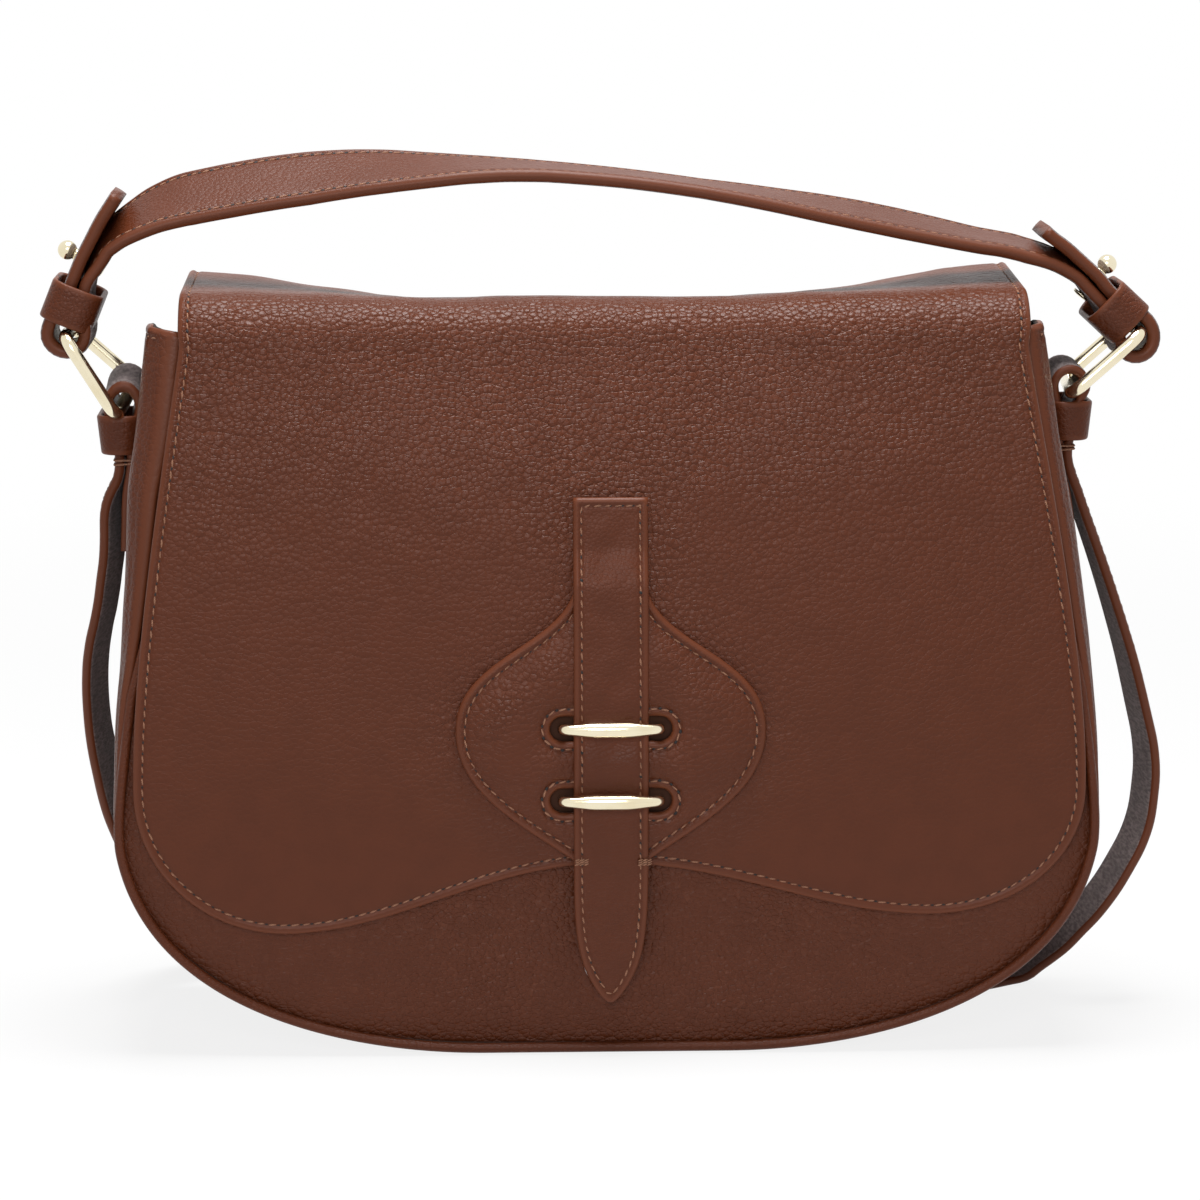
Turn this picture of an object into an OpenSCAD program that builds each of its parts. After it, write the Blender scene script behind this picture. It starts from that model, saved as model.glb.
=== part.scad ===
// Saddle satchel bag: flap with a strap-and-loop closure, ring-hung top handle and a shoulder strap.
// Origin: middle of the flat foot. +X right, -Y front, +Z up. Millimetres.

/* [Body] */
// Width of the body at its widest
body_w = 279; // [240:1:320]
// Height of the gusset's top edge
body_h = 203; // [188:1:225]
// Width of the body at its top edge
mouth_w = 252; // [225:1:262]
// Height at which the body is widest
waist_z = 72; // [55:1:90]
// Depth of the body at the foot
foot_depth = 76; // [68:1:90]
// Depth of the body at its top edge
mouth_depth = 62; // [56:1:66]
// How far the front and back bulge out
belly = 4; // [2:0.5:6]
// Width of the flat foot
foot_w = 70; // [50:1:90]
// Thickness of the body leather
leather_t = 2.2; // [1.6:0.1:2.6]
// Width of the sewn welt strip
welt_w = 2.6; // [2:0.1:3.2]
// How far the welt stands proud of the panels
welt_rise = 1.6; // [1:0.1:2.2]

/* [Inside] */
// Thickness of the lining
lining_t = 1; // [0.6:0.1:1.4]
// Thickness of the base board
board_t = 1.6; // [1:0.1:2]
// Width of the inner pocket
pocket_w = 120; // [80:1:150]
// Height of the inner pocket
pocket_h = 80; // [60:1:95]

/* [Flap] */
// How far the flap's top corners lie inside the body's
flap_in = 7.5; // [6:0.5:12]
// How far the flap's lobes lie inside the body's widest place
lobe_in = 5.5; // [5:0.5:12]
// Height of the widest place of the flap
flap_lobe_z = 77; // [66:1:90]
// Lowest point of the lobes above the floor
flap_low_z = 38.5; // [32:0.5:44]
// Lower edge of the flap at its middle
flap_mid_z = 56; // [52:0.5:58]
// Thickness of the flap leather
flap_t = 1.6; // [1.2:0.1:1.8]
// Thickness of the flap lining
flap_lining_t = 1; // [0.6:0.1:1.2]
// How far the top of the flap sags in the middle
flap_sag = 12; // [6:0.5:13]
// Radius of the flap's bend at the front
bend_r = 14; // [12:0.5:15]
// How far the flap's back edge lies below the body's top edge
flap_seam_drop = 35; // [28:1:50]
// How far the fold line lies in front of the middle
fold_y = 15; // [14.5:0.5:17]

/* [Closure] */
// Half width of the spade panel
spade_half_w = 43.5; // [36:0.5:50]
// Height of the spade panel's widest place
spade_z = 94.5; // [90:0.5:98]
// Thickness of the spade panel
spade_t = 2.4; // [2:0.1:3]
// Width of the closure strap
strap_w = 21; // [18:0.5:22]
// Thickness of the closure strap
strap_t = 2.2; // [1.6:0.1:2.6]
// Top end of the closure strap
strap_top_z = 160; // [150:1:168]
// Tip of the tongue above the floor
tongue_tip_z = 16; // [12:0.5:18]
// Height of the upper loop
loop_upper_z = 95; // [92:0.5:97]
// Height of the lower loop
loop_lower_z = 74.5; // [72:0.5:78]
// Half the distance between a loop's legs
loop_leg_x = 13.6; // [12.6:0.1:14]
// Thickest radius of a loop's bar
loop_bar_r = 2.4; // [2:0.1:2.6]
// Radius of the magnet snap
magnet_r = 6.5; // [5:0.5:7]

/* [Rings and tabs] */
// Radius of the ring wire
wire_r = 1.9; // [1.5:0.1:2]
// Distance between the ring's two cross bars
ring_len = 23.5; // [21:0.5:26]
// Clear width inside the ring
ring_gap = 25; // [24.5:0.5:28]
// Outward lean of the rings at rest
ring_lean = 48; // [42:1:52]
// How far the ring's lower bar lies below the body's top edge
tab_drop = 16.7; // [13:0.1:21]
// How far the lower bar stands outside the body's top edge
tab_out = 8.5; // [8:0.1:10]
// Width of the side tabs
tab_w = 21; // [18:0.5:21]
// Thickness of one tab ply
tab_t = 2.2; // [1.8:0.1:2.2]

/* [Handle] */
// Width of the handle strap
handle_w = 23; // [20:0.5:23]
// Thickness of the handle, both plies
handle_t = 3.8; // [3:0.1:4]
// Height of the handle's top above the rings' upper bars
handle_rise = 44.6; // [42:0.2:52]
// Length of a keeper along its strap
keeper_len = 11.5; // [9:0.5:12]
// Wall of a keeper
keeper_t = 1.6; // [1.2:0.1:1.8]
// Radius of the stud balls
ball_r = 2.9; // [2.4:0.1:3.2]

/* [Shoulder strap] */
// Width of the shoulder strap
shoulder_w = 20; // [16:0.5:21]
// Thickness of the shoulder strap
shoulder_t = 2.5; // [2:0.1:2.6]

/* [Hidden] */
$fn = 48;
steps = 14;
touch = 0.1;
rest_gap = 0.4;
leather = [0.45, 0.24, 0.17];
leather_dark = [0.36, 0.18, 0.13];
cloth = [0.62, 0.5, 0.4];
gold = [0.85, 0.75, 0.5];
steel = [0.6, 0.6, 0.62];

// The bends of a limp strap on the floor, chosen by hand: [x, y, z] of its middle.
ROUTE = [
    [-136.5, 0, 158], [-137.4, 0, 150], [-140, 1, 138], [-143.5, 3, 124], [-146, 6, 108],
    [-147, 11, 92], [-146, 18, 75], [-143, 28, 57], [-137, 39, 39], [-128, 50, 22],
    [-114, 60, 8], [-96, 69, 2.3], [-78, 77, 1.4], [-58, 84, 1.4], [-36, 89, 1.4],
    [-12, 92, 1.4], [12, 92, 1.4], [34, 88, 1.4], [54, 79, 1.4], [71, 66, 1.4],
    [85, 50, 1.4], [97, 34, 1.4], [108.5, 20, 3.2], [120, 14, 8.2], [130, 12.5, 14],
    [140, 12, 23], [148.2, 12.5, 35.2], [154.3, 13.5, 49.5], [157.5, 14, 65.8], [157, 13, 84.1],
    [153.3, 11, 104.6], [148.1, 8, 121.5], [143.2, 5, 135.3], [139.2, 2.5, 147.4],
    [137, 0.5, 153], [136.5, 0, 158]
];

// Curves and outlines ----------------------------------------------------------
function bez(a, b, c, d, n) = [for (i = [0:n]) let (t = i / n, s = 1 - t)
    a * s * s * s + 3 * b * s * s * t + 3 * c * s * t * t + d * t * t * t];
function tail(p) = [for (i = [1:len(p) - 1]) p[i]];
function reversed(p) = [for (i = [len(p) - 1:-1:0]) p[i]];
function flipped(p) = [for (q = p) [-q.x, q.y]];
function along(p, i) = let (v = p[min(i + 1, len(p) - 1)] - p[max(i - 1, 0)]) v / norm(v);
function shifted(p, d) = [for (i = [0:len(p) - 1]) let (t = along(p, i)) p[i] + d * [t.y, -t.x]];
function band(p, a, b) = concat(shifted(p, a), reversed(shifted(p, b)));
function clamp01(v) = min(max(v, 0), 1);

// Right half of the body's outline, moved inwards by d, and the whole of it from top left to top right
half_w = body_w / 2;
foot_pull = 41;
side_pull = 28;
side_out = 8;
side_drop = 65;
body_half = concat([[0, 0]],
    bez([foot_w / 2, 0], [foot_w / 2 + foot_pull, 0], [half_w + 0.5, waist_z * 0.2], [half_w, waist_z], steps),
    tail(bez([half_w, waist_z], [half_w, waist_z + side_pull], [mouth_w / 2 + side_out, body_h - side_drop],
        [mouth_w / 2, body_h], 8)));
function body_line(d) = let (h = shifted(body_half, -d)) concat(reversed(flipped(tail(h))), h);
function body_strip(d0, d1) = concat(body_line(d0), reversed(body_line(d1)));

// Half depth of the body at height z, and the outer faces of what lies on it
function panel_y(z) = foot_depth / 2 - (foot_depth - mouth_depth) / 2 * pow(z / body_h, 2)
    + belly * sin(180 * clamp01(z / body_h));
function flap_y(z) = panel_y(z) + rest_gap + touch + flap_lining_t + flap_t;
function spade_y(z) = flap_y(z) + spade_t * clamp01((spade_top_z + 10 - z) / 9);
function slab(side, a, b, z0, z1) = let (n = steps, dz = (z1 - z0) / n) concat(
    [for (i = [0:n]) [side * (panel_y(z0 + i * dz) + a), z0 + i * dz]],
    [for (i = [n:-1:0]) [side * (panel_y(z0 + i * dz) + b), z0 + i * dz]]);

panel_top = body_h - 3;
hem_z = panel_top - 10;
panel_inset = 0.8;
lining_in = leather_t + board_t + 0.4;
lining_gap = 1.2;

// Flap: front outline, and the line of its outer face over the top
flap_w = mouth_w - 2 * flap_in;
lobe_x = half_w - lobe_in;
lobe_low_x = lobe_x - 43;
lobe_turn = 19;
lobe_drop = 17;
lobe_pull = 38;
shoulder_drop = 28;
shoulder_out = 3;
arch_low_x = 60;
arch_high_x = 35;
flap_seam_z = body_h - flap_seam_drop;
flap_front_top = panel_top + 1.2;
flap_half = concat(
    bez([flap_w / 2 - 0.6, flap_front_top], [flap_w / 2 + shoulder_out, body_h - shoulder_drop],
        [lobe_x, flap_lobe_z + lobe_pull], [lobe_x, flap_lobe_z], 8),
    tail(bez([lobe_x, flap_lobe_z], [lobe_x, flap_low_z + lobe_drop], [lobe_x - lobe_turn, flap_low_z],
        [lobe_low_x, flap_low_z], steps)),
    tail(bez([lobe_low_x, flap_low_z], [arch_low_x, flap_low_z], [arch_high_x, flap_mid_z],
        [0, flap_mid_z], 12)));
flap_outline = concat(flap_half, reversed(flipped(flap_half)));
front_c = [-(flap_y(flap_front_top + 0.4) - bend_r), flap_front_top + 0.4];
back_r = 12;
back_face = flap_lining_t + flap_t;
seam_gap = 0.25;
back_c = [panel_y(panel_top - flap_sag) + back_face + seam_gap - back_r, panel_top + 5];
top_a = back_c + [0, back_r];
top_b = front_c + [0, bend_r];
fold_z = top_b.y + (top_a.y - top_b.y) * (-fold_y - top_b.x) / (top_a.x - top_b.x);
fold_gap = 0.4;
function sag(x) = flap_sag * (1 - pow(abs(2 * x / flap_w), 2.2));
sag_from_z = flap_seam_z + 10;

// Rows of the rear stretch: [y, z, normal y, normal z, share of the sag]
function sag_share(y, z) = min(clamp01((y - front_c.x + bend_r) / (top_a.x - front_c.x + bend_r)),
    y > 0 ? clamp01((z - sag_from_z) / (top_a.y - sag_from_z)) : 1);
rear_rows = concat(
    [for (i = [0:5]) let (z = flap_seam_z + i * (back_c.y - flap_seam_z) / 6)
        [0, z, 1, 0, sag_share(back_c.x + back_r, z)]],
    [for (a = [0:15:90]) let (y = back_c.x + back_r * cos(a), z = back_c.y + back_r * sin(a))
        [y, z, cos(a), sin(a), sag_share(y, z)]],
    [for (i = [1:4]) let (k = i / 4, y = top_a.x * (1 - k) - fold_y * k, z = top_a.y * (1 - k) + fold_z * k)
        [y, z, 0, 1, sag_share(y, z)]]);
bridge_rows = concat(
    [[-fold_y - fold_gap, fold_z, 0, 1, sag_share(-fold_y - fold_gap, fold_z)]],
    [for (a = [90:15:180]) let (y = front_c.x + bend_r * cos(a), z = front_c.y + bend_r * sin(a))
        [y, z, cos(a), sin(a), sag_share(y, z)]]);

// A point of a row at place x and depth d under the outer face; a row without y lies on the back panel
function sheet_point(r, x, d) = let (z = r[1] - r[4] * sag(x)) [x,
    r[2] == 1 && r[0] == 0 ? panel_y(z) + back_face + seam_gap - d : r[0] - r[2] * d,
    z - r[3] * d];

spade_top_z = spade_z + 40.5;
spade_low_z = spade_z - 37.5;
spade_half = concat(
    bez([strap_w / 2 - 0.5, spade_top_z], [strap_w / 2 + 3.5, spade_z + 23.5],
        [spade_half_w, spade_z + 21.5], [spade_half_w, spade_z], 12),
    tail(bez([spade_half_w, spade_z], [spade_half_w, spade_z - 18.5], [strap_w / 2 + 11.5, spade_low_z + 9],
        [strap_w / 2 - 0.5, spade_low_z], 12)));
loop_zs = [loop_upper_z, loop_lower_z];
slot_r = 3.5;
plate_t = 0.8;
plate_half_w = 19;
plate_over = 8;
tack_z = spade_low_z + 0.4;
tongue_gap = 0.6;
tongue_top_z = tack_z - tongue_gap;
shoulder_up = 17;
shoulder_pull = 7;
point_w = 5.5;
point_up = 3;
shoulder_z = tongue_tip_z + shoulder_up;
magnet_up = 11;
magnet_z = tongue_tip_z + magnet_up;
magnet_t = 1.6;
stud_t = 1.7;
tongue_back_y = panel_y(tongue_tip_z) + magnet_t + stud_t + 0.4;

// Rings, tabs and handle: [x, z] of the right side
tab_x = mouth_w / 2 + tab_out;
tab_z = body_h - tab_drop;
lower_bar = [tab_x, tab_z];
upper_bar = lower_bar + ring_len * [sin(ring_lean), cos(ring_lean)];
side_y = ring_gap / 2 + wire_r;
corner_r = wire_r + 1;
bar_gap = 0.35;
tab_hole_r = wire_r + 1;
tab_hole = lower_bar + [0.4, 0.5];
tab_eye_r = tab_hole_r + tab_t - 0.1;
ply_end_z = tab_z - 45;
strap_end_z = tab_z - 28.3;
keeper_low_z = tab_z - 17.8;
keeper_x0 = lower_bar.x - 2.6;
keeper_hole = 7.6;

eye_r = wire_r + bar_gap;
eye_mid = eye_r + handle_t / 2;
ply_off = handle_t / 2 + touch / 2;
// [outward side, lean from upright, straight length, keeper middle, tail's lean] of the handle's two ends
ends = [[-1, 22, 23, 11.5, 30], [1, 45, 22.5, 11, 42]];
tail_len = 20;
neck_s = 6;
stud_back = 2.9;
screw_r = 1.2;
screw_head_r = 2.6;
function up(e) = [-e[0] * sin(e[1]), cos(e[1])];
function inward(e) = [-e[0] * cos(e[1]), -sin(e[1])];
function bar(e) = [e[0] * upper_bar.x, upper_bar.y];
function at_end(e, s, n) = bar(e) + s * up(e) + n * inward(e);
peak = [-22, upper_bar.y + handle_rise];
left_start = at_end(ends[0], ends[0][2], ply_off);
right_start = at_end(ends[1], ends[1][2], ply_off);
left_join = bar(ends[0]) + [30, 30.6];
right_join = bar(ends[1]) + [-44, 23.6];
arch = concat(
    bez(left_start, left_start + 4 * up(ends[0]), left_join - [11.5, 2.2], left_join, 8),
    tail(bez(left_join, left_join + [27, 5.2], peak - [38, 0], peak, 10)),
    tail(bez(peak, peak + [42, 0], right_join + [-48, 6.4], right_join, 10)),
    tail(bez(right_join, right_join + [14, -1.9], right_start + 5 * up(ends[1]), right_start, 8)));

// Placing ------------------------------------------------------------------------
module upright(y0, y1) {
    translate([0, y1, 0]) rotate([90, 0, 0]) linear_extrude(y1 - y0) children();
}
module across(w) {
    rotate([90, 0, 90]) linear_extrude(w, center = true) children();
}
module panel(side, outline, a, b, z0, z1) {
    intersection() {
        upright(side < 0 ? -foot_depth : 0, side < 0 ? 0 : foot_depth) polygon(outline);
        across(body_w + 40) polygon(slab(side, a, b, z0, z1));
    }
}
module between(outline, a, z0, z1) {
    intersection() {
        upright(-foot_depth, foot_depth) polygon(outline);
        across(body_w + 40) polygon(concat(
            [for (i = [0:steps]) let (z = z0 + i * (z1 - z0) / steps) [panel_y(z) - a, z]],
            [for (i = [steps:-1:0]) let (z = z0 + i * (z1 - z0) / steps) [a - panel_y(z), z]]));
    }
}
module on_front(z, out) {
    tilt = atan2(panel_y(z + 5) - panel_y(z - 5), 10);
    translate([0, -panel_y(z) - out, z]) rotate([90 + tilt, 0, 0]) children();
}
module sheet(rows, d0, d1) {
    cols = 12;
    xs = [for (j = [0:cols]) flap_w * (j / cols - 0.5)];
    n = len(rows);
    m = cols + 1;
    pts = concat(
        [for (r = rows) for (x = xs) sheet_point(r, x, d0)],
        [for (r = rows) for (x = xs) sheet_point(r, x, d1)]);
    top = [for (i = [0:n - 2]) for (j = [0:cols - 1]) let (a = i * m + j, b = a + m)
        for (f = [[a, a + 1, b + 1], [a, b + 1, b]]) f];
    under = [for (f = top) [for (k = [2:-1:0]) f[k] + n * m]];
    ends_y = [for (i = [0, n - 1]) for (j = [0:cols - 1]) let (a = i * m + j, q = [a, a + 1, a + 1 + n * m, a + n * m])
        i == 0 ? reversed(q) : q];
    ends_x = [for (j = [0, cols]) for (i = [0:n - 2]) let (a = i * m + j, q = [a + m, a, a + n * m, a + m + n * m])
        j == 0 ? reversed(q) : q];
    polyhedron(pts, concat(top, under, ends_y, ends_x), convexity = 6);
}

// Body -----------------------------------------------------------------------------
module front_panel() {
    color(leather) panel(-1, body_line(panel_inset), 0, -leather_t, 0, panel_top);
}
module back_panel() {
    color(leather) panel(1, body_line(panel_inset), 0, -leather_t, 0, panel_top);
}
module gusset() {
    color(leather_dark) between(body_strip(0, leather_t), leather_t, 0, body_h);
}
module welt(side) {
    color(leather_dark) panel(side, body_strip(0, welt_w), 0, welt_rise, 0, panel_top);
}
module front_welt() { welt(-1); }
module back_welt() { welt(1); }
module base_board() {
    wide = foot_w - 4;
    deep = 2 * (panel_y(board_t) - leather_t - rest_gap);
    color("tan") translate([-wide / 2, -deep / 2, leather_t]) cube([wide, deep, board_t]);
}
module lining() {
    inner = lining_in + lining_t;
    wall = leather_t + lining_gap;
    color(cloth) difference() {
        union() {
            between(body_line(lining_in), wall, 0, panel_top);
            between(body_line(leather_t), leather_t + touch, hem_z, panel_top);
        }
        between(body_line(inner), wall + lining_t, 0, panel_top + 20);
    }
}
module inner_pocket() {
    face = leather_t + lining_gap + lining_t + seam_gap;
    outline = [[-pocket_w / 2, 0], [pocket_w / 2, 0], [pocket_w / 2, body_h], [-pocket_w / 2, body_h]];
    low = body_h / 2 - 20;
    color(cloth) panel(1, outline, -face, -face - lining_t, low, low + pocket_h);
}
module magnet_socket() {
    color(steel) on_front(magnet_z, touch) difference() {
        cylinder(r = magnet_r + 0.5, h = magnet_t);
        translate([0, 0, magnet_t - 0.6]) cylinder(r = magnet_r - 2.5, h = 1);
    }
}
module magnet_backing() {
    color(steel) on_front(magnet_z, -leather_t - touch) mirror([0, 0, 1]) cylinder(r = magnet_r + 1.5, h = plate_t);
}

// Side tabs, folded over the rings' lower bars, each with its keeper
module on_side(side) {
    mirror([side < 0 ? 1 : 0, 0, 0]) children();
}
function body_x(z) = let (h = body_half, k = [for (i = [0:len(h) - 2]) if (h[i].y <= z && h[i + 1].y > z) i][0])
    h[k].x + (h[k + 1].x - h[k].x) * (z - h[k].y) / (h[k + 1].y - h[k].y);
module side_tab(side) {
    ply_low = [for (i = [0:6]) let (z = ply_end_z + i * (keeper_low_z - 6 - ply_end_z) / 6)
        [body_x(z) + touch + tab_t / 2, z]];
    keeper_ply = keeper_x0 + touch + tab_t / 2;
    inner_ply = concat(ply_low, [[keeper_ply, keeper_low_z], [keeper_ply, keeper_low_z + keeper_len],
        [tab_hole.x - tab_eye_r + tab_t / 2 + 0.1, tab_hole.y + 0.5]]);
    outer_ply = [[tab_hole.x + tab_eye_r - tab_t / 2 - 0.1, tab_hole.y + 0.5],
        [keeper_x0 + keeper_hole - touch - tab_t / 2 - 0.6, keeper_low_z + keeper_len - 1],
        [keeper_ply + tab_t + 1, keeper_low_z], [keeper_ply + tab_t + 1.2, strap_end_z]];
    color(leather) on_side(side) difference() {
        union() {
            for (ply = [inner_ply, outer_ply])
                upright(-tab_w / 2, tab_w / 2) polygon(band(ply, -tab_t / 2, tab_t / 2));
            upright(-tab_w / 2, tab_w / 2) translate(tab_hole) circle(r = tab_eye_r);
        }
        upright(-tab_w, tab_w) translate(tab_hole) circle(r = tab_hole_r);
    }
}
module side_tab_left() { side_tab(-1); }
module side_tab_right() { side_tab(1); }
module tube(inner, outer, y_half, len) {
    difference() {
        translate([-outer / 2, -y_half - keeper_t, 0]) cube([outer, 2 * (y_half + keeper_t), len]);
        translate([-inner / 2, -y_half, -1]) cube([inner, 2 * y_half, len + 2]);
    }
}
module tab_keeper(side) {
    color(leather_dark) on_side(side) translate([keeper_x0 + keeper_hole / 2, 0, keeper_low_z])
        tube(keeper_hole, keeper_hole + 2 * keeper_t, tab_w / 2 + rest_gap, keeper_len);
}
module tab_keeper_left() { tab_keeper(-1); }
module tab_keeper_right() { tab_keeper(1); }

// Flap -------------------------------------------------------------------------------
module flap_rear_shell() { color(leather) sheet(rear_rows, 0, flap_t); }
module flap_rear_lining() { color(cloth) sheet(rear_rows, flap_t, back_face); }
module flap_bridge_shell() { color(leather) sheet(bridge_rows, 0, flap_t); }
module flap_bridge_lining() { color(cloth) sheet(bridge_rows, flap_t, back_face); }
module flap_front_shell() {
    a = rest_gap + touch + flap_lining_t;
    color(leather) panel(-1, flap_outline, a + flap_t, a, 0, flap_front_top);
}
module flap_front_lining() {
    a = rest_gap + touch;
    color(cloth) panel(-1, flap_outline, a + flap_lining_t, a, 0, flap_front_top);
}

// Closure: spade panel, strap, loops with their plate, and the hanging tongue
module slot(r) {
    translate([-loop_leg_x, 0]) circle(r = r);
    translate([loop_leg_x, 0]) circle(r = r);
    square([2 * loop_leg_x, 2 * r], center = true);
}
module plate_outline(grow) {
    low = loop_lower_z - plate_over - grow;
    translate([-plate_half_w - grow, low]) square([2 * (plate_half_w + grow), loop_upper_z + plate_over + grow - low]);
}
module closure_panel() {
    a = flap_y(0) - panel_y(0);
    color(leather) difference() {
        panel(-1, concat(spade_half, reversed(flipped(spade_half))), a + spade_t, a, 0, spade_top_z + 1);
        for (z = loop_zs) upright(-foot_depth, 0) translate([0, z]) slot(slot_r);
        panel(-1, [for (s = [-1, 1]) for (t = [s, -s]) [s * (plate_half_w + touch),
            t > 0 ? loop_upper_z + plate_over + touch : loop_lower_z - plate_over - touch]],
            a + plate_t + touch, a - 1, 0, body_h);
    }
}
module closure_strap() {
    n = 2 * steps;
    zs = [for (i = [0:n]) tack_z + i * (strap_top_z - tack_z) / n];
    color(leather) across(strap_w) polygon(concat(
        [for (z = zs) [-spade_y(z), z]],
        [for (z = reversed(zs)) [-spade_y(z) - strap_t, z]]));
}
module loop(z) {
    y = -spade_y(z) - strap_t - loop_bar_r - touch;
    base = -flap_y(z) - plate_t;
    leg_r = 1.5;
    bend = leg_r + touch;
    half = loop_leg_x - bend;
    color(gold) for (s = [-1, 1]) {
        translate([0, y, z]) rotate([0, s * 90, 0]) cylinder(r1 = loop_bar_r, r2 = leg_r, h = half);
        translate([s * half, y + bend, z]) rotate([0, 0, s > 0 ? -90 : 180])
            rotate_extrude(angle = 90) translate([bend, 0]) circle(r = leg_r);
        translate([s * loop_leg_x, base, z]) rotate([90, 0, 0]) cylinder(r = leg_r, h = base - y - bend);
    }
}
module loop_upper() { loop(loop_upper_z); }
module loop_lower() { loop(loop_lower_z); }
module loop_plate() {
    a = flap_y(0) - panel_y(0);
    low = loop_lower_z - plate_over;
    high = loop_upper_z + plate_over;
    w = plate_half_w;
    color(steel) panel(-1, [[-w, low], [w, low], [w, high], [-w, high]], a + plate_t, a + touch, 0, body_h);
}
module tongue_tip() {
    h = strap_w / 2;
    half = concat([[h, tongue_top_z]],
        bez([h, shoulder_z], [h - 0.5, shoulder_z - shoulder_pull], [h - point_w, tongue_tip_z + point_up],
            [0, tongue_tip_z], 10));
    top_y = spade_y(tongue_top_z);
    color(leather) intersection() {
        upright(-foot_depth, 0) polygon(concat(half, reversed(flipped(half))));
        across(strap_w + 2) polygon([[-top_y, tongue_top_z], [-tongue_back_y, tongue_tip_z],
            [-tongue_back_y - strap_t, tongue_tip_z], [-top_y - strap_t, tongue_top_z]]);
    }
}
module magnet_stud() {
    rise = (magnet_z - tongue_tip_z) / (tongue_top_z - tongue_tip_z);
    y = tongue_back_y + rise * (spade_y(tongue_top_z) - tongue_back_y);
    tilt = atan2(spade_y(tongue_top_z) - tongue_back_y, tongue_top_z - tongue_tip_z);
    color(steel) translate([0, -y + touch, magnet_z]) rotate([-90 + tilt, 0, 0]) cylinder(r = magnet_r, h = stud_t);
}

// Rings: two cross bars and two side bars with round corners
module ring(side) {
    straight_y = side_y - corner_r;
    straight = ring_len / 2 - corner_r;
    middle = (lower_bar + upper_bar) / 2;
    color(gold) on_side(side) translate([middle.x, 0, middle.y]) rotate([0, ring_lean, 0])
        for (s = [-1, 1]) {
            translate([0, -straight_y, s * ring_len / 2]) rotate([-90, 0, 0]) cylinder(r = wire_r, h = 2 * straight_y);
            translate([0, s * side_y, -straight]) cylinder(r = wire_r, h = 2 * straight);
            for (t = [-1, 1]) translate([0, s * straight_y, t * straight])
                rotate([0, 90, 0]) rotate([0, 0, s > 0 ? (t > 0 ? 90 : 0) : (t > 0 ? 180 : 270)])
                    rotate_extrude(angle = 90) translate([corner_r, 0]) circle(r = wire_r);
        }
}
module ring_left() { ring(-1); }
module ring_right() { ring(1); }

// Handle -------------------------------------------------------------------------------
module stud_frame(e) {
    p = at_end(e, e[2] - stud_back, 0);
    d = inward(e);
    translate([p.x, 0, p.y]) rotate([0, atan2(-d.x, -d.y), 0]) children();
}
module handle_slice() {
    upright(-handle_w / 2, handle_w / 2) children();
}
module handle_strap() {
    h = handle_t / 2;
    lap = 1.2;
    top_ply = concat([at_end(ends[0], ends[0][2] - lap, ply_off)], arch,
        [at_end(ends[1], ends[1][2] - lap, ply_off)]);
    color(leather) difference() {
        union() {
            handle_slice() polygon(band(top_ply, -h, 0));
            for (e = ends) {
                tip = at_end(e, e[2], -ply_off) + tail_len * [-e[0] * sin(e[4]), cos(e[4])];
                outer = [at_end(e, 0, -eye_mid), at_end(e, neck_s, -ply_off), at_end(e, e[2], -ply_off), tip];
                inner = [at_end(e, 0, eye_mid), at_end(e, neck_s, ply_off), at_end(e, e[2], ply_off)];
                for (ply = [outer, inner]) handle_slice() polygon(band(ply, -h, h));
                handle_slice() translate(bar(e)) circle(r = eye_mid + h);
            }
        }
        for (e = ends) {
            upright(-handle_w, handle_w) translate(bar(e)) circle(r = eye_r);
            stud_frame(e) cylinder(r = screw_r + touch, h = 4 * handle_t, center = true);
        }
    }
}
module handle_lining() {
    middle = [for (i = [1:len(arch) - 2]) arch[i]];
    color(cloth) handle_slice() polygon(band(middle, 0, handle_t / 2));
}
module handle_keeper(e) {
    p = at_end(e, e[3] - keeper_len / 2, 0);
    hole = 2 * handle_t + touch + 2 * rest_gap;
    color(leather_dark) translate([p.x, 0, p.y]) rotate([0, -e[0] * e[1], 0])
        tube(hole, hole + 2 * keeper_t, handle_w / 2 + rest_gap, keeper_len);
}
module handle_keeper_left() { handle_keeper(ends[0]); }
module handle_keeper_right() { handle_keeper(ends[1]); }
face_off = handle_t + touch / 2;
module stud_ball(e) {
    neck = 2.2;
    color(gold) stud_frame(e) translate([0, 0, face_off]) {
        cylinder(r = 1.7, h = neck + 1);
        translate([0, 0, neck + ball_r - 0.3]) sphere(r = ball_r);
    }
}
module stud_ball_left() { stud_ball(ends[0]); }
module stud_ball_right() { stud_ball(ends[1]); }
module stud_screw(e) {
    color(gold) stud_frame(e) {
        translate([0, 0, -face_off - 1]) cylinder(r = screw_head_r, h = 1);
        translate([0, 0, -face_off]) cylinder(r = screw_r, h = 2 * face_off);
    }
}
module stud_screw_left() { stud_screw(ends[0]); }
module stud_screw_right() { stud_screw(ends[1]); }

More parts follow.
